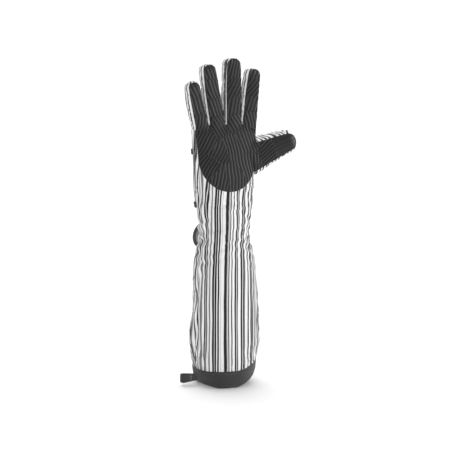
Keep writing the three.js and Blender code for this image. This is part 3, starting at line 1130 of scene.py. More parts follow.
@dataclass
class Skin:
    """The striped outer cloth with its lining, in pieces: the arm, and each digit's base and its tip."""

    finishes: Finishes
    arm_shape: ArmForm = field(default_factory=ArmForm)
    wall: float = 1.3 * MM
    lining_wall: float = 1.0 * MM
    lining_gap: float = 0.3 * MM
    wrist_reach: float = 16.0 * MM
    fold: float = 0.8 * MM
    swell: float = 1.1 * MM
    slip: float = 3.2 * MM
    hem: float = 17.0 * MM
    web_below: float = 7.5 * MM

    def __post_init__(self) -> None:
        """Measure every limb."""
        self.arm = self.arm_shape.form()
        self.digits = [
            Digit("pinky", "pinky_curl", "pinky_tip_curl", rib_turn=-14.0),
            Digit("ring", "ring_curl", "ring_tip_curl", rib_turn=-18.0),
            Digit("middle", "middle_curl", "middle_tip_curl", rib_turn=20.0),
            Digit("index", "index_curl", "index_tip_curl", rib_turn=30.0),
            Digit("thumb", "thumb_swing", "thumb_tip_curl", rib_turn=-40.0, root=20.0 * MM, crosswise=True),
        ]
        for digit in self.digits:
            digit.measure()
        self.wrist = frame_joint("wrist_bend").z

    @property
    def wrist_zone(self) -> tuple[tuple[float, float, float], tuple[float, float, float]]:
        """Start and end of the stretch that bends at the wrist."""
        x = float(self.arm.origin[0])
        return (x, 0.0, self.wrist - self.wrist_reach), (x, 0.0, self.wrist + self.wrist_reach)

    def shape(self) -> None:
        """Loft the limbs, fold them and let them settle."""
        knuckle = frame_joint("middle_curl").z
        self.top = knuckle - self.web_below
        arm = self.arm.cloth(self.hem, self.top)
        rise = ease((arm.points[:, 2] - (self.top - self.arm_shape.slope_from)) / self.arm_shape.slope_from)
        arm.points[:, 2] += rise * self.arm_shape.web_slope * (arm.points[:, 0] - self.arm.origin[0] - 0.01)
        arm.refresh()
        self.arm_cloth = arm
        self.digit_cloths = [digit.cloth() for digit in self.digits]
        self.crease(arm)
        self.settle()
        for cloth in (arm, *self.digit_cloths):
            cloth.refresh()

    def crease(self, arm: Cloth) -> None:
        """Press shallow folds into the sleeve: slanting ones at the waist, long soft ones below it.

        Args:
            arm: the arm's cloth, changed in place.
        """
        low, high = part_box("wrist_elastic")
        waist = (low.z + high.z) / 2
        x, _, z = (arm.points - self.arm.origin).T
        around = np.arctan2(arm.points[:, 1], x)
        near = bell(z - waist, 34 * MM)
        sides = np.abs(x) / self.arm.half_width.max()
        slant = np.sin((z + np.abs(x) * 0.55) * math.tau / (15 * MM) + 1.6 * np.sin(around * 3 + 0.7))
        soft = smooth_noise(wrapped(around, z, 0.32), 0.045, SEED)
        pucker = np.sin(around * 34 + 2.2 * np.sin(around * 5)) * bell(z - waist, 9 * MM)
        free = ease((z - 30 * MM) / (16 * MM)) * (1 - ease((z - 262 * MM) / (20 * MM)))
        fine = smooth_noise(wrapped(around, z, 0.17), 0.011, SEED + 3)
        low_down = 0.35 + 0.65 * ease((150 * MM - z) / (90 * MM))
        tucks = (0.10 + 1.7 * sides**4) * low_down * (1 - 2.4 * np.abs(fine))
        depth = near * (0.25 + sides**2) * slant + soft * 1.2 + pucker * 0.35 + tucks * 1.5
        waist_in = bell(z - waist, 26 * MM) * (0.8 + 0.9 * (x > 0)) * sides
        belly = bell(z - 125 * MM, 52 * MM) * sides * (x < 0)
        inwards = self.swell + waist_in * (2.2 * MM) + belly * (2.4 * MM)
        arm.points += arm.normals * ((depth * self.fold - inwards) * free)[:, None]
        corner = arm.points[arm.faces]
        turned = np.arctan2(corner[..., 1], corner[..., 0] - self.arm.origin[0])
        places = wrapped(turned, corner[..., 2], 0.22)
        wobble = smooth_noise(places.reshape(-1, 3), 0.016, SEED + 7).reshape(turned.shape)
        arm.grain[..., 0] += wobble * self.slip * (0.08 + 1.2 * np.cos(turned) ** 8)
        arm.refresh()

    def settle(self) -> None:
        """Run the cloth simulation on the arm and the digits together."""
        arm = self.arm_cloth
        z = arm.points[:, 2]
        palm_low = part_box("palm_grip")[0].z
        in_band = 1 - ease((z - 22 * MM) / (6 * MM))
        on_palm = ease((z - palm_low) / (14 * MM)) * (arm.points[:, 1] < 0)
        on_top = ease((z - (self.top - 14 * MM)) / (8 * MM))
        low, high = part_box("wrist_elastic")
        waist = (low.z + high.z) / 2
        ring = bell(z - waist, 3.0 * MM) * 0.9
        panel_low, panel_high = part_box("panel_binding_lower")[0].z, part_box("panel_binding_upper")[1].z
        on_panel = ease((z - panel_low + 8 * MM) / (8 * MM)) * ease((panel_high + 8 * MM - z) / (8 * MM))
        on_panel = on_panel * ease((arm.points[:, 1] + 6 * MM) / (6 * MM))
        held = [np.clip(np.maximum.reduce([in_band, on_palm, on_top, ring, on_panel]), 0, 1)]
        gathered = [bell(z - waist, 22 * MM)]
        for digit, cloth in zip(self.digits, self.digit_cloths):
            at = digit.stations(cloth.points)
            root = 1 - ease((at + 12 * MM) / (8 * MM))
            palm_side = (cloth.normals[:, 1] < -0.55).astype(float)
            held.append(np.maximum(root, palm_side))
            bends = bell(at, 7 * MM) + bell(at - digit.second, 7 * MM)
            gathered.append(np.clip(bends, 0, 1))
        Softener().run([arm, *self.digit_cloths], held, gathered)

    def surface(self) -> BVHTree:
        """The skins' outside, to lay panels on."""
        points: list[list[float]] = []
        faces: list[tuple[int, ...]] = []
        for cloth in (self.arm_cloth, *self.digit_cloths):
            start = len(points)
            points += cloth.points.tolist()
            faces += [tuple(start + v for v in face) for face in plain_faces(cloth.faces)]
        return BVHTree.FromPolygons(points, faces)

    def shell(
        self,
        name: str,
        cloth: Cloth,
        out: float,
        wall: float,
        material: bpy.types.Material,
    ) -> bpy.types.Object:
        """Give a cloth its thickness.

        Args:
            name: the piece's name.
            cloth: its outer surface.
            out: how far to move it first, along its normals.
            wall: its thickness.
            material: its finish.

        Returns:
            The closed piece.
        """
        moved = Cloth(cloth.points + cloth.normals * out, cloth.faces, cloth.grain, cloth.normals)
        points, faces, grain, normals = moved.slab(moved.points - moved.normals * wall)
        clean, kept = [], []
        for face, place in zip(faces, grain):
            chosen = [k for k in range(len(face)) if face[k] != face[k - 1]]
            clean.append(tuple(face[k] for k in chosen))
            kept.append(np.asarray(place)[chosen])
        return build_mesh(name, points, clean, kept, material, normals)

    def pair(
        self,
        part: str,
        cloth: Cloth,
        zone: tuple[Any, Any],
        outer: Sequence[str],
        inner: Sequence[str],
    ) -> None:
        """Make a skin and its lining.

        Args:
            part: the start of both names.
            cloth: the outer surface.
            zone: where the bend starts and ends; not used.
            outer: CAD nodes that the skin stands for.
            inner: CAD nodes that the lining stands for.
        """
        stripes = self.finishes.stripes if part == "arm" else self.finishes.finger_stripes
        skin = self.shell(f"{part}_skin", cloth, 0.0, self.wall, stripes)
        inside = -(self.wall + self.lining_gap)
        lining = self.shell(f"{part}_inner_lining", cloth, inside, self.lining_wall, self.finishes.lining)
        for piece, nodes, slot in ((skin, outer, Slot.STRIPES), (lining, inner, Slot.LINING)):
            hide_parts(*nodes)
            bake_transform(piece)
        LOG.info("%s: skin and lining, %d faces", part, len(skin.data.polygons))

    def dress(self) -> None:
        """Build every skin."""
        outer = ["sleeve_shell", "hand_shell", "wrist_gather"]
        inner = ["sleeve_lining", "hand_lining"]
        self.pair("arm", self.arm_cloth, self.wrist_zone, outer, inner)
        for digit, cloth in zip(self.digits, self.digit_cloths):
            middle = digit.stations(cloth.points[cloth.faces].mean(1))
            low = cloth.part(middle < digit.cut)
            high = cloth.part(middle >= digit.cut)
            base, tip = f"{digit.name}_base", f"{digit.name}_tip"
            self.pair(base, low, digit.zone(1), [f"{base}_shell"], [f"{base}_lining"])
            self.pair(tip, high, digit.zone(2), [f"{tip}_shell"], [f"{tip}_lining"])


# ---------------------------------------------------------------- silicone


# Areas of the palm whose ribs run one way: across and up from the panel's lower end in mm, lean in degrees.
PALM_AREAS = (
    (-29, 34, 34),
    (-13, 17, 14),
    (6, 22, -2),
    (28, 34, -12),
    (-32, 68, 30),
    (-13, 55, 20),
    (3, 62, -12),
    (27, 72, -20),
    (-34, 98, 14),
    (-12, 92, -30),
    (12, 98, -22),
    (34, 106, -8),
)


@dataclass
class GripPanels:
    """The silicone on the palm, fingers and thumb, with raised wavy ribs."""

    skin: Skin
    finishes: Finishes
    spacing: float = 0.62 * MM
    rib_pitch: float = 4.5 * MM
    base: float = 0.35 * MM
    rib: float = 1.4 * MM
    sunk: float = 0.5 * MM
    finger_share: float = 0.80
    thumb_share: float = 0.74
    tip_gap: float = 1.6 * MM
    palm_half_width: float = 42.5 * MM
    spring: float = 47.0 * MM
    rounds: int = 70
    waver: float = 1.3 * MM
    bow: float = 2.2 * MM
    ridge: float = 1.1 * MM

    def strip(self, digit: Digit, start: float, end: float, rounded: bool) -> Array:
        """Outline of a digit's panel between two stations, in the plane of the palm.

        Args:
            digit: the digit.
            start: first station.
            end: last station.
            rounded: whether the far end is round.

        Returns:
            Points of the closed outline, across and up.
        """
        form = digit.form
        share = self.thumb_share if digit.crosswise else self.finger_share
        rows = np.linspace(start, end, max(3, int((end - start) / self.spacing)))
        width = np.array([form.section(float(at))[0] * share for at in rows])
        if rounded:
            turn = np.linspace(0, math.pi / 2, 16)[1:]
            reach = digit.tip - self.tip_gap - end
            up = np.concatenate([rows, end + reach * np.sin(turn)])
            out = np.concatenate([width, width[-1] * np.cos(turn)])
            near = self.cut_line(width[0])
            at = np.concatenate([up, up[:-1][::-1], np.full(len(near), rows[0])])
            side = np.concatenate([out, -out[:-1][::-1], near])
        else:
            near = np.arange(-width[0], width[0], self.spacing)[1:-1]
            far = self.cut_line(width[-1])
            top, foot = np.full(len(far), rows[-1]), np.full(len(near), rows[0])
            at = np.concatenate([rows, top, rows[::-1], foot])
            side = np.concatenate([width, far[::-1], -width[::-1], near])
        place = form.origin + np.outer(at, form.along) + np.outer(side, form.across)
        return place[:, [0, 2]]

    def cut_line(self, width: float) -> Array:
        """Points across a panel where it is cut, the same from both sides."""
        count = max(3, int(2 * width / self.spacing))
        return np.linspace(-width, width, count)[1:-1]

    def palm(self) -> Array:
        """Outline of the palm's panel, round at its lower end.

        Returns:
            Points of the closed outline, across and up.
        """
        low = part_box("palm_grip")[0]
        centre = float(self.skin.arm.origin[0]) + 1.0 * MM
        spring = low.z + self.spring
        turn = np.linspace(math.pi, math.tau, 150)
        x = centre + self.palm_half_width * np.cos(turn)
        z = spring + self.spring * np.sin(turn)
        top = self.skin.top
        pinky, index = self.skin.digits[0].form, self.skin.digits[3].form
        right = index.origin - index.along * 10 * MM + index.across * index.section(0)[0] * 0.8
        left = pinky.origin - pinky.along * 10 * MM - pinky.across * pinky.section(0)[0] * 0.8
        edge_right = straight((x[-1], spring), right[[0, 2]], 60)[1:]
        top_edge = straight(right[[0, 2]], left[[0, 2]], 120)[1:]
        top_edge[:, 1] = np.minimum(top_edge[:, 1], top - 2.5 * MM + 0.09 * (top_edge[:, 0] - centre))
        edge_left = straight((left[0], top_edge[-1, 1]), (x[0], spring), 60)[1:-1]
        return np.concatenate([np.stack([x, z], 1), edge_right, top_edge, edge_left])

    def outlines(self) -> tuple[list[Array], list[str]]:
        """Outline the palm's panel and every digit's.

        Returns:
            The outlines, and the body group each belongs to.
        """
        shapes, owners = [self.palm()], ["palm"]
        for digit in self.skin.digits:
            knuckle = -7.0 * MM if not digit.crosswise else -8.0 * MM
            cap = digit.tip - digit.form.cap
            shapes.append(self.strip(digit, -digit.root - 4 * MM, knuckle, False))
            owners.append("palm")
            shapes.append(self.strip(digit, knuckle, digit.cut, False))
            owners.append(f"{digit.name}_base")
            shapes.append(self.strip(digit, digit.cut, cap, True))
            owners.append(f"{digit.name}_tip")
        return shapes, owners

    def flat(self) -> tuple[Array, Array, list[str]]:
        """Triangulate the outlines with an even spread of points inside.

        Returns:
            Flat points, triangles, and the owner of each triangle.
        """
        shapes, owners = self.outlines()
        rims = np.concatenate(shapes)
        low, high = rims.min(0), rims.max(0)
        columns = np.arange(low[0], high[0], self.spacing)
        rows = np.arange(low[1], high[1], self.spacing * 0.866)
        grid_x, grid_z = np.meshgrid(columns, rows)
        grid_x = grid_x + (np.arange(len(rows)) % 2)[:, None] * self.spacing / 2
        inside = np.zeros(grid_x.size, bool)
        spots = np.stack([grid_x.ravel(), grid_z.ravel()], 1)
        for shape in shapes:
            inside |= within(spots, shape)
        spots = spots[inside]
        tree = KDTree(len(rims))
        for index, (x, z) in enumerate(rims):
            tree.insert((x, z, 0), index)
        tree.balance()
        clear = [tree.find((x, z, 0))[2] > 0.4 * self.spacing for x, z in spots]
        spots = spots[np.array(clear)]
        corners = [Vector(p) for p in np.concatenate([rims, spots]) * 1000]
        faces, start = [], 0
        for shape in shapes:
            faces.append(list(range(start, start + len(shape))))
            start += len(shape)
        made = delaunay_2d_cdt(corners, [], faces, 1, 0.01, True)
        flat = np.array([tuple(p) for p in made[0]]) / 1000
        triangles = np.array([face for face, source in zip(made[2], made[5]) if source])
        chosen = []
        for source in filter(None, made[5]):
            names = [owners[k] for k in source]
            chosen.append(next((n for n in names if n != "palm"), "palm"))
        used, index = np.unique(triangles, return_inverse=True)
        return flat[used], index.reshape(-1, 3), chosen

    def ribs(self, flat: Array) -> Array:
        """Height of the ribs, 0 in the grooves and 1 on the crests.

        Args:
            flat: places across and up.

        Returns:
            One height for each place.
        """
        middles, leans = self.areas()
        noise = [smooth_noise(flat, 0.045, SEED + k) for k in range(2)]
        place = flat + self.waver * np.stack(noise, 1)
        away = np.linalg.norm(place[:, None] - middles[None], axis=2)
        lean = leans[np.argmin(away, axis=1)]
        nearest = np.partition(away, 1, axis=1)
        phase = place[:, 0] * np.cos(lean) - place[:, 1] * np.sin(lean)
        phase += self.bow * smooth_noise(flat, 0.11, SEED + 4)
        wave = 0.5 + 0.5 * np.cos(phase * math.tau / self.rib_pitch)
        height = np.minimum(1.0, 1.25 * wave)
        shown = ease(2.0 * smooth_noise(flat, 0.06, SEED + 2) + 0.6)
        ridge = bell(nearest[:, 1] - nearest[:, 0], self.ridge) * shown
        return np.maximum(height, 1.2 * ridge)

    def areas(self) -> tuple[Array, Array]:
        """Areas whose ribs all run one way.

        Returns:
            Their middles, and how far the ribs lean to the right, in radians.
        """
        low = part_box("palm_grip")[0].z
        corner = np.array([float(self.skin.arm.origin[0]), low])
        middles = [corner + np.array([across, up]) * MM for across, up, _ in PALM_AREAS]
        leans = [lean for _, _, lean in PALM_AREAS]
        for digit in self.skin.digits:
            own = math.degrees(math.atan2(digit.form.along[0], digit.form.along[2]))
            for at, share in ((12 * MM, 0.4), (38 * MM, 1.0), (64 * MM, 0.7)):
                middles.append((digit.form.origin + digit.form.along * at)[[0, 2]])
                leans.append(own + share * digit.rib_turn)
        return np.array(middles), np.radians(leans)

    def build(self) -> None:
        """Lay the panels on the skin, raise the ribs and split them at the joints."""
        flat, triangles, owners = self.flat()
        surface = self.skin.surface()
        depth = np.zeros(len(flat))
        for index, (x, z) in enumerate(flat):
            hit = surface.ray_cast(Vector((x, -0.2, z)), Vector((0, 1, 0)))[0]
            depth[index] = hit.y if hit is not None else np.nan
        depth = self.mend(triangles, depth)
        points = np.stack([flat[:, 0], depth, flat[:, 1]], 1)
        sheet = Cloth(points, triangles, flat[triangles]).refresh()
        if np.mean(sheet.normals[:, 1]) > 0:
            sheet.faces = sheet.faces[:, ::-1]
            sheet.grain = sheet.grain[:, ::-1]
            sheet.refresh()
        rim = np.unique(sheet.rims())
        tree = KDTree(len(rim))
        for index in rim:
            tree.insert(sheet.points[index], int(index))
        tree.balance()
        away = np.array([tree.find(p)[2] for p in sheet.points])
        bevel = np.sqrt(np.clip(1 - (1 - np.clip(away / (1.1 * MM), 0, 1)) ** 2, 0, 1))
        height = self.ribs(flat)
        owner = np.array(owners)
        smooth_tip = np.zeros(len(flat), bool)
        smooth_tip[np.unique(sheet.faces[owner == "thumb_tip"])] = True
        thumb = self.skin.digits[4].form
        side = (flat - thumb.origin[[0, 2]]) @ thumb.across[[0, 2]]
        faint = 0.25 + 0.12 * np.cos(side * math.tau / (5.5 * MM))
        height = np.where(smooth_tip, faint, height)
        lower = sheet.points - sheet.normals * self.sunk
        raised = bevel * (self.base + self.rib * height) + 0.12 * MM
        sheet.points = sheet.points + sheet.normals * raised[:, None]
        sheet.refresh()
        for name in dict.fromkeys(owners):
            self.piece(name, sheet, owner == name, lower, height)

    def mend(self, triangles: Array, depth: Array) -> Array:
        """Fill missed places and even the surface out where limbs meet.

        Args:
            triangles: three indices for each triangle.
            depth: the surface's place in depth, not a number where it was missed.

        Returns:
            The filled and smoothed depths.
        """
        pairs = np.concatenate([triangles[:, [0, 1]], triangles[:, [1, 2]], triangles[:, [2, 0]]])
        at, beside = np.concatenate([pairs, pairs[:, ::-1]]).T
        known = ~np.isnan(depth)
        filled = np.where(known, depth, 0.0)
        for round_index in range(self.rounds):
            use = known.astype(float)
            total = np.bincount(at, (filled * use)[beside], len(depth))
            count = np.bincount(at, use[beside], len(depth))
            mean = np.where(count > 0, total / np.maximum(count, 1), filled)
            if round_index < 0.7 * self.rounds:
                filled = np.where(known, np.minimum(filled, 0.5 * filled + 0.5 * mean), mean)
            else:
                filled = np.where(known, 0.5 * filled + 0.5 * mean, mean)
            known = known | (count > 0)
        return filled

    def piece(self, name: str, sheet: Cloth, keep: Array, lower: Array, height: Array) -> None:
        """Close one panel into a solid; only the palm's is joined to a body, the hand's.

        Args:
            name: the body group that it belongs to.
            sheet: the outer surface of all the panels.
            keep: one truth value for each face of the sheet.
            lower: the inner surface's points.
            height: the ribs' height at each point.
        """
        used = np.unique(sheet.faces[keep])
        part = sheet.part(keep)
        points, faces, grain, normals = part.slab(lower[used])
        smooth = name == "thumb_tip"
        material = self.finishes.smooth if smooth else self.finishes.ribbed
        piece = build_mesh(f"{name}_silicone", points, faces, grain, material, normals)
        # Relief carries the rib height to the silicone finishes, which colour the grooves darker as painted
        # shade
        relief = piece.data.attributes.new("Relief", "FLOAT", "POINT")
        relief.data.foreach_set("value", np.tile(height[used], 2).astype(np.float32))
        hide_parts(f"{name}_grip")
        if name == "palm":
            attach(piece, "hand")
        else:
            digit = next(d for d in self.skin.digits if name.startswith(d.name))
            first = name.endswith("_base")
            zone = digit.zone(1 if first else 2)
            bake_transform(piece)
        LOG.info("%s silicone: %d faces", name, len(piece.data.polygons))


def within(spots: Array, shape: Array) -> Array:
    """Which places lie inside a closed outline.

    Args:
        spots: the places.
        shape: the outline's points.

    Returns:
        One truth value for each place.
    """
    inside = np.zeros(len(spots), bool)
    x, z = spots[:, 0], spots[:, 1]
    after = np.roll(shape, -1, 0)
    for (ax, az), (bx, bz) in zip(shape, after):
        if az == bz:
            continue
        crosses = (az > z) != (bz > z)
        inside ^= crosses & (x < (bx - ax) * (z - az) / (bz - az) + ax)
    return inside


# ---------------------------------------------------------------- trim


# Points in each row of the back panel and its tapes.
PANEL_COLUMNS = 72


@dataclass
class CuffBand:
    """The black woven band that binds the open end."""

    skin: Skin
    finishes: Finishes
    thick: float = 1.9 * MM
    inside: float = 3.2 * MM
    corner: float = 4.6 * MM
    quarter: int = 40
    edge: float = 1.0 * MM
    rise: float = 13.0 * MM
    left_rise: float = 4.0 * MM
    seams: tuple[float, float] = (0.86, 0.18)

    def reach(self, at: float) -> tuple[float, float]:
        """Half width and half depth of the CAD band at one height."""
        probe = Probe(["cuff_band"])
        spot = Vector((float(self.skin.arm.origin[0]), 0.0, at))
        left, right = probe.touch(spot, Vector((1, 0, 0))), probe.touch(spot, Vector((-1, 0, 0)))
        front, back = probe.touch(spot, Vector((0, 1, 0))), probe.touch(spot, Vector((0, -1, 0)))
        return (right.x - left.x) / 2, (back.y - front.y) / 2

    def lift(self, side: Array, face: Array, share: float) -> Array:
        """How far the soft edge rises off the floor towards its sides, most at its right one.

        Args:
            side: places from the left side, -1, to the right side, 1.
            face: places from the front, -1, to the back, 1.
            share: height in the band, from 0 to 1.

        Returns:
            One height for each place.
        """
        right = self.rise * (1 - 0.25 * share) * ease((side + 0.1 + 0.2 * face) / 1.1)
        left = self.left_rise * (1 - share) * ease((-side - 0.45) / 0.55)
        return right + left

    def profile(self, height: float) -> list[tuple[float, float]]:
        """The band's cut, from the inner top round the bottom to the outer top.

        Args:
            height: the band's height.

        Returns:
            How far out and how high each point is.
        """
        out, inner, corner = self.thick, -self.inside, self.corner
        turn = np.linspace(0, math.pi / 2, 6)
        cut = [(inner, height - 0.6 * MM), (inner, height * 0.6)]
        cut += [(inner, 1.0 * MM), (inner + 0.4 * MM, 0.0)]
        cut += [(out - corner + corner * math.sin(t), corner - corner * math.cos(t)) for t in turn]
        for share in np.linspace(0.16, 0.88, 12):
            swell = 0.35 * MM * math.sin(math.pi * (share - 0.16) / 0.72)
            seams = sum(math.exp(-(((share - at) / 0.03) ** 2)) for at in self.seams)
            groove = -0.30 * MM * seams
            cut.append((out + swell + groove, height * share))
        lip = 0.8 * MM
        cut += [(out - lip + lip * math.cos(t), height - lip + lip * math.sin(t)) for t in turn]
        cut += [(inner + lip - lip * math.sin(t), height - lip + lip * math.cos(t)) for t in turn[:-1]]
        return cut

    def build(self) -> None:
        """Sweep the cut round the cuff."""
        low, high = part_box("cuff_band")
        form = self.skin.arm
        tall = high.z - low.z
        foot, head = self.reach(low.z + self.edge), self.reach(high.z - self.edge)
        cut = self.profile(tall)
        rows = []
        for out, up in cut:
            share = up / tall
            reaches = [a + (b - a) * share - self.thick + 0.6 * MM for a, b in zip(foot, head)]
            half_width, half_depth = reaches
            quarter, _ = outline(half_width + out, half_depth + out, form.power, self.quarter)
            x, y = all_round(quarter)
            ripple = 0.22 * MM * np.sin(np.linspace(0, math.tau * 9, len(x), endpoint=False) + up * 160)
            fade = 1.0 if out > 0 and up > 2 * MM else 0.0
            centre = np.array([form.origin[0], 0.0])
            away = unit(np.stack([x, y], 1)) * (ripple * fade)[:, None]
            place = np.stack([x, y], 1) + away + centre
            height = low.z + up + self.lift(x / half_width, y / half_depth, share)
            rows.append(np.column_stack([place, height]))
        sides = len(rows[0])
        points = np.concatenate(rows)
        faces = tube_faces(len(rows), sides)
        last = (len(rows) - 1) * sides
        side = np.arange(sides)
        after = (side + 1) % sides
        faces = np.concatenate([faces, np.stack([last + side, last + after, after, side], 1)])
        run = np.linspace(0, 2 * math.pi * 0.04, sides + 1)
        level = np.concatenate([[0], np.cumsum([math.dist(a, b) for a, b in zip(cut, cut[1:] + cut[:1])])])
        grain = []
        for row in range(len(rows)):
            for k in range(sides):
                a, b, c, d = run[k], run[k + 1], level[row], level[row + 1]
                grain.append(np.array([[c, a], [c, b], [d, b], [d, a]]))
        piece = build_mesh("cuff_band_webbing", points, faces, grain, self.finishes.webbing)
        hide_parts("cuff_band")
        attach(piece, "sleeve")
        LOG.info("cuff band: %d faces", len(piece.data.polygons))


@dataclass
class HangLoop:
    """A short length of black tape, folded double and sewn in at the cuff."""

    finishes: Finishes
    tape: float = 1.7 * MM
    tuck: float = 3.0 * MM

    def build(self) -> None:
        """Sweep the tape's cut along the fold."""
        low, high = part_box("hang_loop")
        radius = (high.y - low.y) / 2 - self.tape / 2
        left, right = low.x + radius + self.tape / 2, high.x + self.tuck
        path = []
        for x in np.linspace(right, left, 14)[:-1]:
            path.append((x, -radius + 1.6 * MM * ease(np.array((x - left) / (right - left))) ** 2))
        for turn in np.linspace(-math.pi / 2, -3 * math.pi / 2, 15):
            path.append((left + radius * math.cos(turn), radius * math.sin(turn)))
        for x in np.linspace(left, right, 14)[1:]:
            path.append((x, radius - 1.6 * MM * ease(np.array((x - left) / (right - left))) ** 2))
        path_array = np.array(path, float)
        step = np.gradient(path_array, axis=0)
        aside = unit(np.stack([step[:, 1], -step[:, 0]], 1))
        half, tall = self.tape / 2, (high.z - low.z) / 2
        bend = 4.0 * MM
        middle = (high.z + low.z) / 2
        cut = []
        for k in range(20):
            turn = math.tau * k / 20
            cut.append((half * squared(math.cos(turn), 0.5), tall * squared(math.sin(turn), 0.22)))
        rows = []
        run = np.concatenate([[0], np.cumsum(np.linalg.norm(np.diff(path_array, axis=0), axis=1))])
        for (x, y), (ax, ay) in zip(path_array, aside):
            share = float(ease(np.array((high.x - x) / (high.x - low.x))))
            drawn = 0.72 + 0.28 * share - 0.10 * float(ease(np.array((low.x + bend - x) / bend)))
            rows.append([(x + ax * o, y + ay * o, middle + u * drawn) for o, u in cut])
        points = np.array(rows).reshape(-1, 3)
        sides = len(cut)
        faces = [tuple(f) for f in tube_faces(len(rows), sides).tolist()]
        faces += [tuple(range(sides))[::-1], tuple(len(points) - sides + k for k in range(sides))]
        grain = []
        around = np.linspace(0, 0.028, sides + 1)
        for row in range(len(rows) - 1):
            for k in range(sides):
                a, b, c, d = around[k], around[k + 1], run[row], run[row + 1]
                grain.append(np.array([[a, c], [b, c], [b, d], [a, d]]))
        grain += [np.zeros((sides, 2)), np.zeros((sides, 2))]
        piece = build_mesh("hang_loop_tape", points, faces, grain, self.finishes.webbing)
        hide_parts("hang_loop")
        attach(piece, "loop")
        LOG.info("hang loop: %d faces", len(piece.data.polygons))


@dataclass
class Badge:
    """The round badge at the back of the wrist: a dark rim round a felt face."""

    skin: Skin
    finishes: Finishes
    sides: int = 96
    overlap: float = 0.9 * MM
    sink: float = 0.5 * MM

    def tilt(self, points: Array) -> Array:
        """Lean points of the badge onto the slope of the sleeve.

        Args:
            points: places in the CAD badge, which stands upright.

        Returns:
            The places on the slope.
        """
        low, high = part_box("badge_rim")
        surface = self.skin.surface()
        middle, radius = (low + high) / 2, (high.x - low.x) / 2
        spots = []
        for share in (0.0, 0.35, 0.7, 1.0):
            for turn in np.linspace(0, math.tau, 24, endpoint=False):
                x = middle.x + share * radius * math.cos(turn)
                z = middle.z + share * radius * math.sin(turn)
                hit = surface.ray_cast(Vector((x, FAR, z)), Vector((0, -1, 0)))[0]
                if hit is not None:
                    spots.append(tuple(hit))
        touched = np.array(spots)
        flat = np.column_stack([touched[:, 0], touched[:, 2], np.ones(len(touched))])
        plane = np.linalg.lstsq(flat, touched[:, 1], rcond=None)[0]
        clear = float(np.max(touched[:, 1] - flat @ plane)) - self.sink
        leaning = points.copy()
        leaning[:, 1] += np.column_stack([points[:, 0], points[:, 2], np.ones(len(points))]) @ plane
        leaning[:, 1] += clear - low.y
        return leaning

    def lathe(
        self,
        name: str,
        cut: Sequence[tuple[float, float]],
        centre: Vector,
        closed: bool,
        material: bpy.types.Material,
    ) -> bpy.types.Object:
        """Turn a cut round the badge's axis, which points backwards.

        Args:
            name: the piece's name.
            cut: radius and height of each point.
            centre: the middle of the badge's flat side.
            closed: whether the cut is a closed ring.
            material: its finish.

        Returns:
            The piece.
        """
        angle = np.linspace(0, math.tau, self.sides, endpoint=False)
        rows = []
        for radius, height in cut:
            across, up = centre.x + radius * np.cos(angle), centre.z + radius * np.sin(angle)
            rows.append(np.stack([across, np.full(self.sides, centre.y + height), up], 1))
        points = self.tilt(np.concatenate(rows))
        faces = [tuple(f) for f in tube_faces(len(rows), self.sides).tolist()]
        if closed:
            last = len(points) - self.sides
            for k in range(self.sides):
                after = (k + 1) % self.sides
                faces.append((last + k, last + after, after, k))
        else:
            faces.append(tuple(range(self.sides))[::-1])
            faces.append(tuple(len(points) - self.sides + k for k in range(self.sides)))
        if outward(points, faces) < 0:
            faces = [f[::-1] for f in faces]
        flat = points[:, [0, 2]]
        grain = [flat[list(f)] for f in faces]
        return build_mesh(name, points, faces, grain, material)

    def build(self) -> None:
        """Make the rim and the face."""
        low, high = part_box("badge_rim")
        face_low, face_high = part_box("badge_face")
        centre = Vector(((low.x + high.x) / 2, low.y, (low.z + high.z) / 2))
        radius, inner = (high.x - low.x) / 2, (face_high.x - face_low.x) / 2
        thick = high.y - low.y
        inner -= self.overlap
        middle, half = (radius + inner) / 2, (radius - inner) / 2
        cut = []
        for k in range(20):
            turn = math.tau * k / 20
            up = thick / 2 + thick / 2 * squared(math.sin(turn), 0.7)
            cut.append((middle + half * squared(math.cos(turn), 0.6), up))
        rim = self.lathe("badge_rim_ring", cut, centre, True, self.finishes.tape)
        tall = face_high.y - low.y
        dome = [(inner - 0.2 * MM, 0.0), (inner - 0.2 * MM, tall * 0.8)]
        for share in (0.94, 0.9, 0.86, 0.82, 0.76, 0.6, 0.4, 0.2, 0.03):
            ring = -0.45 * MM * math.exp(-(((share - 0.86) / 0.035) ** 2))
            dome.append((inner * share, tall + 0.5 * MM * (1 - share**2) + ring))
        face = self.lathe("badge_felt_face", dome, centre, False, self.finishes.felt)
        for piece, node, slot in ((rim, "badge_rim", Slot.WEBBING), (face, "badge_face", Slot.FELT)):
            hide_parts(node)
            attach(piece, "sleeve")
        LOG.info("badge: rim and face")


def outward(points: Array, faces: Sequence[Sequence[int]]) -> float:
    """Signed volume of a closed mesh, above 0 where its faces point outwards.

    Args:
        points: one row for each vertex.
        faces: vertex indices of each face.

    Returns:
        The volume.
    """
    total = 0.0
    for face in faces:
        a = points[face[0]]
        for k in range(1, len(face) - 1):
            total += float(np.dot(a, np.cross(points[face[k]], points[face[k + 1]])))
    return total / 6


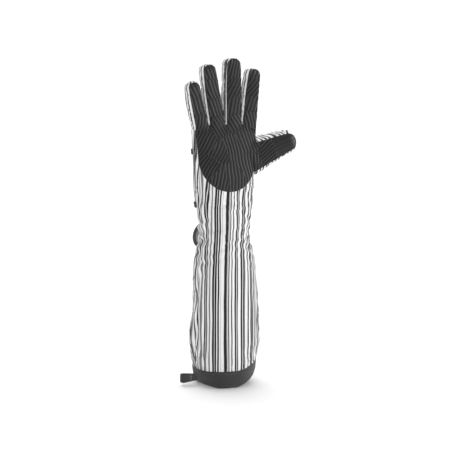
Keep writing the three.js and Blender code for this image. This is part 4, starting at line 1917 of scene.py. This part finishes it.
@dataclass
class BackPanel:
    """The padded striped panel on the back of the hand, with a bound edge above and below."""

    skin: Skin
    finishes: Finishes
    puff: float = 2.0 * MM
    lift: float = 0.25 * MM
    tape: float = 2.3 * MM

    def patch(self, low: Vector, high: Vector, puff: float, lift: float) -> Cloth:
        """A raised sheet over the back between two heights.

        Args:
            low: lowest corner of its CAD box.
            high: highest corner of its CAD box.
            puff: how far its middle stands out.
            lift: how far its edges stand off the skin.

        Returns:
            The sheet.
        """
        form = self.skin.arm
        rows = np.linspace(low.z, high.z, max(8, int((high.z - low.z) / (1.3 * MM))))
        points, grain = [], []
        for at in rows:
            half_width, half_depth, middle = form.section(float(at))
            quarter, run = outline(half_width, half_depth, form.power, 40)
            x = np.concatenate([-quarter[:, 0], quarter[::-1, 0][1:]])
            y = np.concatenate([quarter[:, 1], quarter[::-1, 1][1:]])
            around = np.concatenate([-run, run[::-1][1:]])
            end = float(np.interp(high.x - form.origin[0], x, around))
            stops = np.linspace(around[0], end, PANEL_COLUMNS)
            px, py = np.interp(stops, around, x), np.interp(stops, around, y)
            tall = (at - low.z) / (high.z - low.z)
            wide = (stops - stops[0]) / (stops[-1] - stops[0])
            swell = (np.sin(math.pi * tall) * np.sin(math.pi * wide)) ** 0.45 if 0 < tall < 1 else wide * 0
            away = unit(np.stack([px / half_width**2, py / half_depth**2], 1))
            out = lift + puff * swell + 0.25 * MM * np.sin(wide * 40 + tall * 5) * swell
            place = np.stack([px, py], 1) + away * out[:, None]
            level = np.full(PANEL_COLUMNS, at)
            points.append(np.column_stack([place[:, 0] + form.origin[0], place[:, 1] + middle, level]))
            grain.append(np.stack([form.back_grain - stops + 0.11, level], 1))
        count = PANEL_COLUMNS
        ring, side = np.meshgrid(np.arange(len(rows) - 1), np.arange(count - 1), indexing="ij")
        here = (ring * count + side).ravel()
        faces = np.stack([here + 1, here, here + count, here + count + 1], 1)
        flat = np.concatenate(grain)
        return Cloth(np.concatenate(points), faces, flat[faces]).refresh()

    def build(self) -> None:
        """Make the panel and its two tapes."""
        for node, puff, lift, depth, material, slot in (
            ("back_panel", self.puff, self.lift, 1.4 * MM, self.finishes.stripes, Slot.STRIPES),
            ("panel_binding_lower", 0.5 * MM, self.tape, 2.2 * MM, self.finishes.tape, Slot.WEBBING),
            ("panel_binding_upper", 0.5 * MM, self.tape, 2.2 * MM, self.finishes.tape, Slot.WEBBING),
        ):
            low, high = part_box(node)
            sheet = self.patch(low, high, puff, lift)
            points, faces, grain, normals = sheet.slab(sheet.points - sheet.normals * depth)
            piece = build_mesh(f"{node}_cloth", points, faces, grain, material, normals)
            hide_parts(node)
            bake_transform(piece)
            node == "back_panel"
        LOG.info("back panel and its bindings")


@dataclass
class WristElastic:
    """The elastic that gathers the waist, sewn between skin and lining."""

    skin: Skin
    finishes: Finishes
    depth: float = 1.45 * MM

    def build(self) -> None:
        """Make the band just inside the skin."""
        low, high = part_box("wrist_elastic")
        arm = self.skin.arm_cloth
        middle = arm.points[arm.faces][:, :, 2].mean(1)
        part = arm.part((middle > low.z) & (middle < high.z))
        part.points = part.points - part.normals * self.depth
        points, faces, grain, normals = part.slab(part.points - part.normals * 0.25 * MM)
        piece = build_mesh("wrist_elastic_band", points, faces, grain, self.finishes.elastic, normals)
        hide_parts("wrist_elastic")
        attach(piece, "sleeve")
        LOG.info("wrist elastic")


# ---------------------------------------------------------------- stitching


class StitchTree:
    """A Geometry Nodes tree that sews a row of stitches along a line."""

    def __init__(self) -> None:
        """Build the tree once."""
        tree = bpy.data.node_groups.new("stitch_row", "GeometryNodeTree")
        self.tree = tree
        face = tree.interface
        face.new_socket("Geometry", in_out="INPUT", socket_type="NodeSocketGeometry")
        self.inputs = {}
        kinds = {title: "NodeSocketFloat" for title in ("Pitch", "Length", "Thickness")}
        kinds["Thread"] = "NodeSocketMaterial"
        for title, kind in kinds.items():
            self.inputs[title] = face.new_socket(title, in_out="INPUT", socket_type=kind).identifier
        face.new_socket("Geometry", in_out="OUTPUT", socket_type="NodeSocketGeometry")
        start, end = self.add("NodeGroupInput"), self.add("NodeGroupOutput")
        curve = self.add("GeometryNodeMeshToCurve")
        even = self.add("GeometryNodeResampleCurve", mode="LENGTH")
        ball = self.add("GeometryNodeMeshUVSphere")
        ball.inputs["Segments"].default_value = 6
        ball.inputs["Rings"].default_value = 5
        ball.inputs["Radius"].default_value = 0.5
        size = self.add("ShaderNodeCombineXYZ")
        tangent = self.add("GeometryNodeInputTangent")
        aim = self.add("FunctionNodeAlignRotationToVector", axis="X")
        place = self.add("GeometryNodeInstanceOnPoints")
        real = self.add("GeometryNodeRealizeInstances")
        dress = self.add("GeometryNodeSetMaterial")
        link = tree.links.new
        link(start.outputs["Geometry"], curve.inputs[0])
        link(curve.outputs[0], even.inputs["Curve"])
        link(start.outputs["Pitch"], even.inputs["Length"])
        link(even.outputs[0], place.inputs["Points"])
        link(ball.outputs["Mesh"], place.inputs["Instance"])
        link(tangent.outputs[0], aim.inputs["Vector"])
        link(aim.outputs[0], place.inputs["Rotation"])
        link(start.outputs["Length"], size.inputs[0])
        link(start.outputs["Thickness"], size.inputs[1])
        link(start.outputs["Thickness"], size.inputs[2])
        link(size.outputs[0], place.inputs["Scale"])
        link(place.outputs[0], real.inputs[0])
        link(real.outputs[0], dress.inputs["Geometry"])
        link(start.outputs["Thread"], dress.inputs["Material"])
        link(dress.outputs[0], end.inputs[0])

    def add(self, kind: str, **settings: Any) -> bpy.types.Node:
        """Add a node with its settings."""
        node = self.tree.nodes.new(kind)
        for key, value in settings.items():
            setattr(node, key, value)
        return node

    def sew(
        self,
        name: str,
        lines: Sequence[Array],
        closed: bool,
        pitch: float,
        length: float,
        thickness: float,
        thread: bpy.types.Material,
    ) -> bpy.types.Object:
        """Sew rows along lines and return them as one plain mesh.

        Args:
            name: the piece's name.
            lines: each a run of points.
            closed: whether the lines close on themselves.
            pitch: from one stitch to the next.
            length: of one stitch.
            thickness: of the thread.
            thread: its finish.

        Returns:
            The stitches.
        """
        points, edges = [], []
        for line in lines:
            start = len(points)
            points += [tuple(p) for p in line]
            edges += [(start + k, start + k + 1) for k in range(len(line) - 1)]
            if closed:
                edges.append((len(points) - 1, start))
        mesh = bpy.data.meshes.new(f"{name}_line")
        mesh.from_pydata(points, edges, [])
        rail = bpy.data.objects.new(f"{name}_line", mesh)
        bpy.context.scene.collection.objects.link(rail)
        tool = rail.modifiers.new("sew", "NODES")
        tool.node_group = self.tree
        values = {"Pitch": pitch, "Length": length, "Thickness": thickness, "Thread": thread}
        for title, value in values.items():
            tool[self.inputs[title]] = value
        graph = bpy.context.evaluated_depsgraph_get()
        made = bpy.data.meshes.new_from_object(rail.evaluated_get(graph), depsgraph=graph)
        bpy.data.objects.remove(rail)
        made.name = name
        if not made.materials:
            made.materials.append(thread)
        made.polygons.foreach_set("use_smooth", [True] * len(made.polygons))
        layer = made.uv_layers.new(name="Grain")
        corners = np.zeros(len(made.loops), int)
        made.loops.foreach_get("vertex_index", corners)
        place = np.zeros(len(made.vertices) * 3)
        made.vertices.foreach_get("co", place)
        place = place.reshape(-1, 3)[corners]
        layer.data.foreach_set("uv", np.stack([place[:, 0] + place[:, 1], place[:, 2]], 1).ravel())
        piece = bpy.data.objects.new(name, made)
        bpy.context.scene.collection.objects.link(piece)
        return piece


@dataclass
class Stitching:
    """Rows of stitches on the cuff, the seams, the tapes, the badge and the loop."""

    skin: Skin
    finishes: Finishes
    left_seam_top: float = 0.356
    right_seam_top: float = 0.300

    def ring(self, surface: BVHTree, at: float, out: float) -> Array:
        """A line round the arm at one height, resting on a surface.

        Args:
            surface: the surface.
            at: the height.
            out: how far the line stands off the surface.

        Returns:
            The line's points.
        """
        form = self.skin.arm
        line = []
        for turn in np.linspace(0, math.tau, 240, endpoint=False):
            away = Vector((math.cos(turn), math.sin(turn), 0))
            start = Vector((form.origin[0], 0, at)) + away * 0.2
            hit, normal, _, _ = surface.ray_cast(start, -away)
            if hit is not None:
                line.append(np.array(hit + normal * out))
        return np.array(line)

    def build(self, badge: Badge) -> None:
        """Sew every row.

        Args:
            badge: the finished badge, whose rim is stitched too.
        """
        tree = StitchTree()
        dark, pale = self.finishes.dark_thread, self.finishes.pale_thread
        band = piece_tree("cuff_band_webbing")
        low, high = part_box("cuff_band")
        tall = high.z - low.z
        rows = [self.ring(band, low.z + tall * share, 0.02 * MM) for share in (0.18, 0.86)]
        cuff = tree.sew("cuff_stitches", rows, True, 3.2 * MM, 2.4 * MM, 0.55 * MM, dark)
        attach(cuff, "sleeve")
        arm = self.skin.arm_cloth
        sides = 4 * self.skin.arm.quarter
        columns = arm.points[: (len(arm.points) // sides) * sides].reshape(-1, sides, 3)
        normals = arm.normals[: columns.shape[0] * sides].reshape(-1, sides, 3)
        seams = []
        foot = high.z + 1 * MM
        for column, end in ((0, self.left_seam_top), (2 * self.skin.arm.quarter, self.right_seam_top)):
            line = columns[:, column] + normals[:, column] * 0.1 * MM
            seams.append(line[(line[:, 2] > foot) & (line[:, 2] < end)])
        side = tree.sew("side_seam_stitches", seams, False, 3.0 * MM, 2.2 * MM, 0.5 * MM, pale)
        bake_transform(side)
        for name in ("lower", "upper"):
            node = f"panel_binding_{name}"
            tape = bpy.data.objects[f"{node}_cloth"].data
            outer = np.array([v.co for v in tape.vertices])[: len(tape.vertices) // 2]
            grid = outer.reshape(-1, PANEL_COLUMNS, 3)
            lines = [grid[row][1:-1] for row in (1, len(grid) - 2)]
            sewn = tree.sew(f"{node}_stitches", lines, False, 2.8 * MM, 2.0 * MM, 0.5 * MM, dark)
            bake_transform(sewn)
        self.rim(tree, badge)
        self.loop(tree)
        LOG.info("stitching")

    def rim(self, tree: StitchTree, badge: Badge) -> None:
        """Sew round the badge's rim.

        Args:
            tree: the tree that sews.
            badge: the badge, which leans the line as it leans itself.
        """
        low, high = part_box("badge_rim")
        face_low, face_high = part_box("badge_face")
        radius = (high.x - low.x + face_high.x - face_low.x) / 4
        turn = np.linspace(0, math.tau, 160, endpoint=False)
        x, z = (low.x + high.x) / 2 + radius * np.cos(turn), (low.z + high.z) / 2 + radius * np.sin(turn)
        line = badge.tilt(np.stack([x, np.full(len(x), high.y + 0.02 * MM), z], 1))
        thread = self.finishes.pale_thread
        sewn = tree.sew("badge_stitches", [line], True, 2.6 * MM, 1.9 * MM, 0.5 * MM, thread)
        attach(sewn, "sleeve")

    def loop(self, tree: StitchTree) -> None:
        """Sew the loop's two ends together.

        Args:
            tree: the tree that sews.
        """
        low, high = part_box("hang_loop")
        face = piece_tree("hang_loop_tape")
        lines = []
        for sign in (-1, 1):
            for x in (high.x - 8.5 * MM, high.x - 6.5 * MM):
                column = []
                for z in np.linspace(low.z + 1.4 * MM, high.z - 1.4 * MM, 14):
                    hit, normal, _, _ = face.ray_cast(Vector((x, sign * 0.1, z)), Vector((0, -sign, 0)))
                    if hit is not None:
                        column.append(np.array(hit + normal * 0.02 * MM))
                lines.append(np.array(column))
        thread = self.finishes.pale_thread
        sewn = tree.sew("loop_stitches", lines, False, 2.2 * MM, 1.7 * MM, 0.45 * MM, thread)
        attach(sewn, "loop")


def piece_tree(name: str) -> BVHTree:
    """A search tree of one finished piece."""
    mesh = bpy.data.objects[name].data
    return BVHTree.FromPolygons([v.co for v in mesh.vertices], [tuple(p.vertices) for p in mesh.polygons])


# ---------------------------------------------------------------- studio


@dataclass
class Studio:
    """A plain white floor, soft light and the camera."""

    distance: float = 1.6
    azimuth: float = -20.0
    elevation: float = 8.0
    lens: float = 89.1
    shift: float = 0.013
    aim_height: float = 0.219
    room: float = 0.40

    def build(self) -> None:
        """Set the floor, lights and camera."""
        scene = bpy.context.scene
        scene.view_settings.view_transform = "Standard"
        self.floor()
        world = bpy.data.worlds.new("studio")
        scene.world = world
        world.use_nodes = True
        back = world.node_tree.nodes["Background"]
        back.inputs["Color"].default_value = (1, 1, 1, 1)
        seen = world.node_tree.nodes.new("ShaderNodeLightPath").outputs["Is Camera Ray"]
        level = world.node_tree.nodes.new("ShaderNodeMapRange")
        level.inputs["To Min"].default_value = self.room
        level.inputs["To Max"].default_value = 1.05
        world.node_tree.links.new(seen, level.inputs["Value"])
        world.node_tree.links.new(level.outputs[0], back.inputs["Strength"])
        centre = Vector(((CAD_LOW.x + CAD_HIGH.x) / 2, 0.0, (CAD_LOW.z + CAD_HIGH.z) / 2))
        self.light("top", centre, (0.1, 0.50, 1.0), 60.0, 2.0, True)
        self.light("right", centre, (1.0, -0.25, 0.15), 34.0, 2.2, False)
        self.light("left", centre, (-0.7, -1.0, 0.6), 60.0, 1.0, True)
        self.camera()

    def floor(self) -> None:
        """A wide white floor that isn't part of the glove."""
        sheet = Sheet("white_floor")
        place = sheet.node("ShaderNodeTexCoord", None, None, "Object")
        tone = sheet.noise(place, 3.0, 2.0) * 0.01 + 0.97
        material = sheet.finish(tone, 0.9, sheet.noise(place, 40.0, 2.0) * 0.00002, Specular_IOR_Level=0.0)
        size = 40.0
        points = np.array([(-size, -size, 0), (size, -size, 0), (size, size, 0), (-size, size, 0)], float)
        floor = build_mesh("floor", points, [(0, 1, 2, 3)], None, material)

    def light(
        self, name: str, centre: Vector, offset: Sequence[float], spread: float, power: float, shadow: bool,
    ) -> None:
        """One distant soft light aimed at the glove.

        Args:
            name: its name.
            centre: where it aims.
            offset: the side that it shines from.
            spread: how wide it looks, in degrees.
            power: its strength.
            shadow: whether it throws one.
        """
        data = bpy.data.lights.new(name, "SUN")
        data.use_shadow = shadow
        data.angle, data.energy = math.radians(spread), power
        lamp = bpy.data.objects.new(name, data)
        lamp.location = centre + Vector(offset)
        lamp.rotation_euler = (-Vector(offset)).to_track_quat("-Z", "Y").to_euler()
        bpy.context.scene.collection.objects.link(lamp)

    def camera(self) -> None:
        """The camera, a little to the glove's left and above it."""
        low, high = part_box("cuff_band")
        target = Vector(((low.x + high.x) / 2, 0.0, self.aim_height))
        a, e = math.radians(self.azimuth), math.radians(self.elevation)
        back = Vector((math.sin(a) * math.cos(e), -math.cos(a) * math.cos(e), math.sin(e)))
        data = bpy.data.cameras.new("camera")
        data.lens, data.shift_x = self.lens, self.shift
        camera = bpy.data.objects.new("camera", data)
        camera.location = target + back * self.distance
        camera.rotation_euler = (-back).to_track_quat("-Z", "Y").to_euler()
        bpy.context.scene.collection.objects.link(camera)
        bpy.context.scene.camera = camera


def main() -> None:
    """Build the glove piece by piece."""
    logging.basicConfig(level=logging.INFO, format="%(name)s: %(message)s", stream=sys.stdout)
    Studio().build()
    finishes = Finishes()
    skin = Skin(finishes)
    skin.shape()
    skin.dress()
    GripPanels(skin, finishes).build()
    CuffBand(skin, finishes).build()
    HangLoop(finishes).build()
    badge = Badge(skin, finishes)
    badge.build()
    BackPanel(skin, finishes).build()
    WristElastic(skin, finishes).build()
    Stitching(skin, finishes).build(badge)


if __name__ == "__main__":
    main()
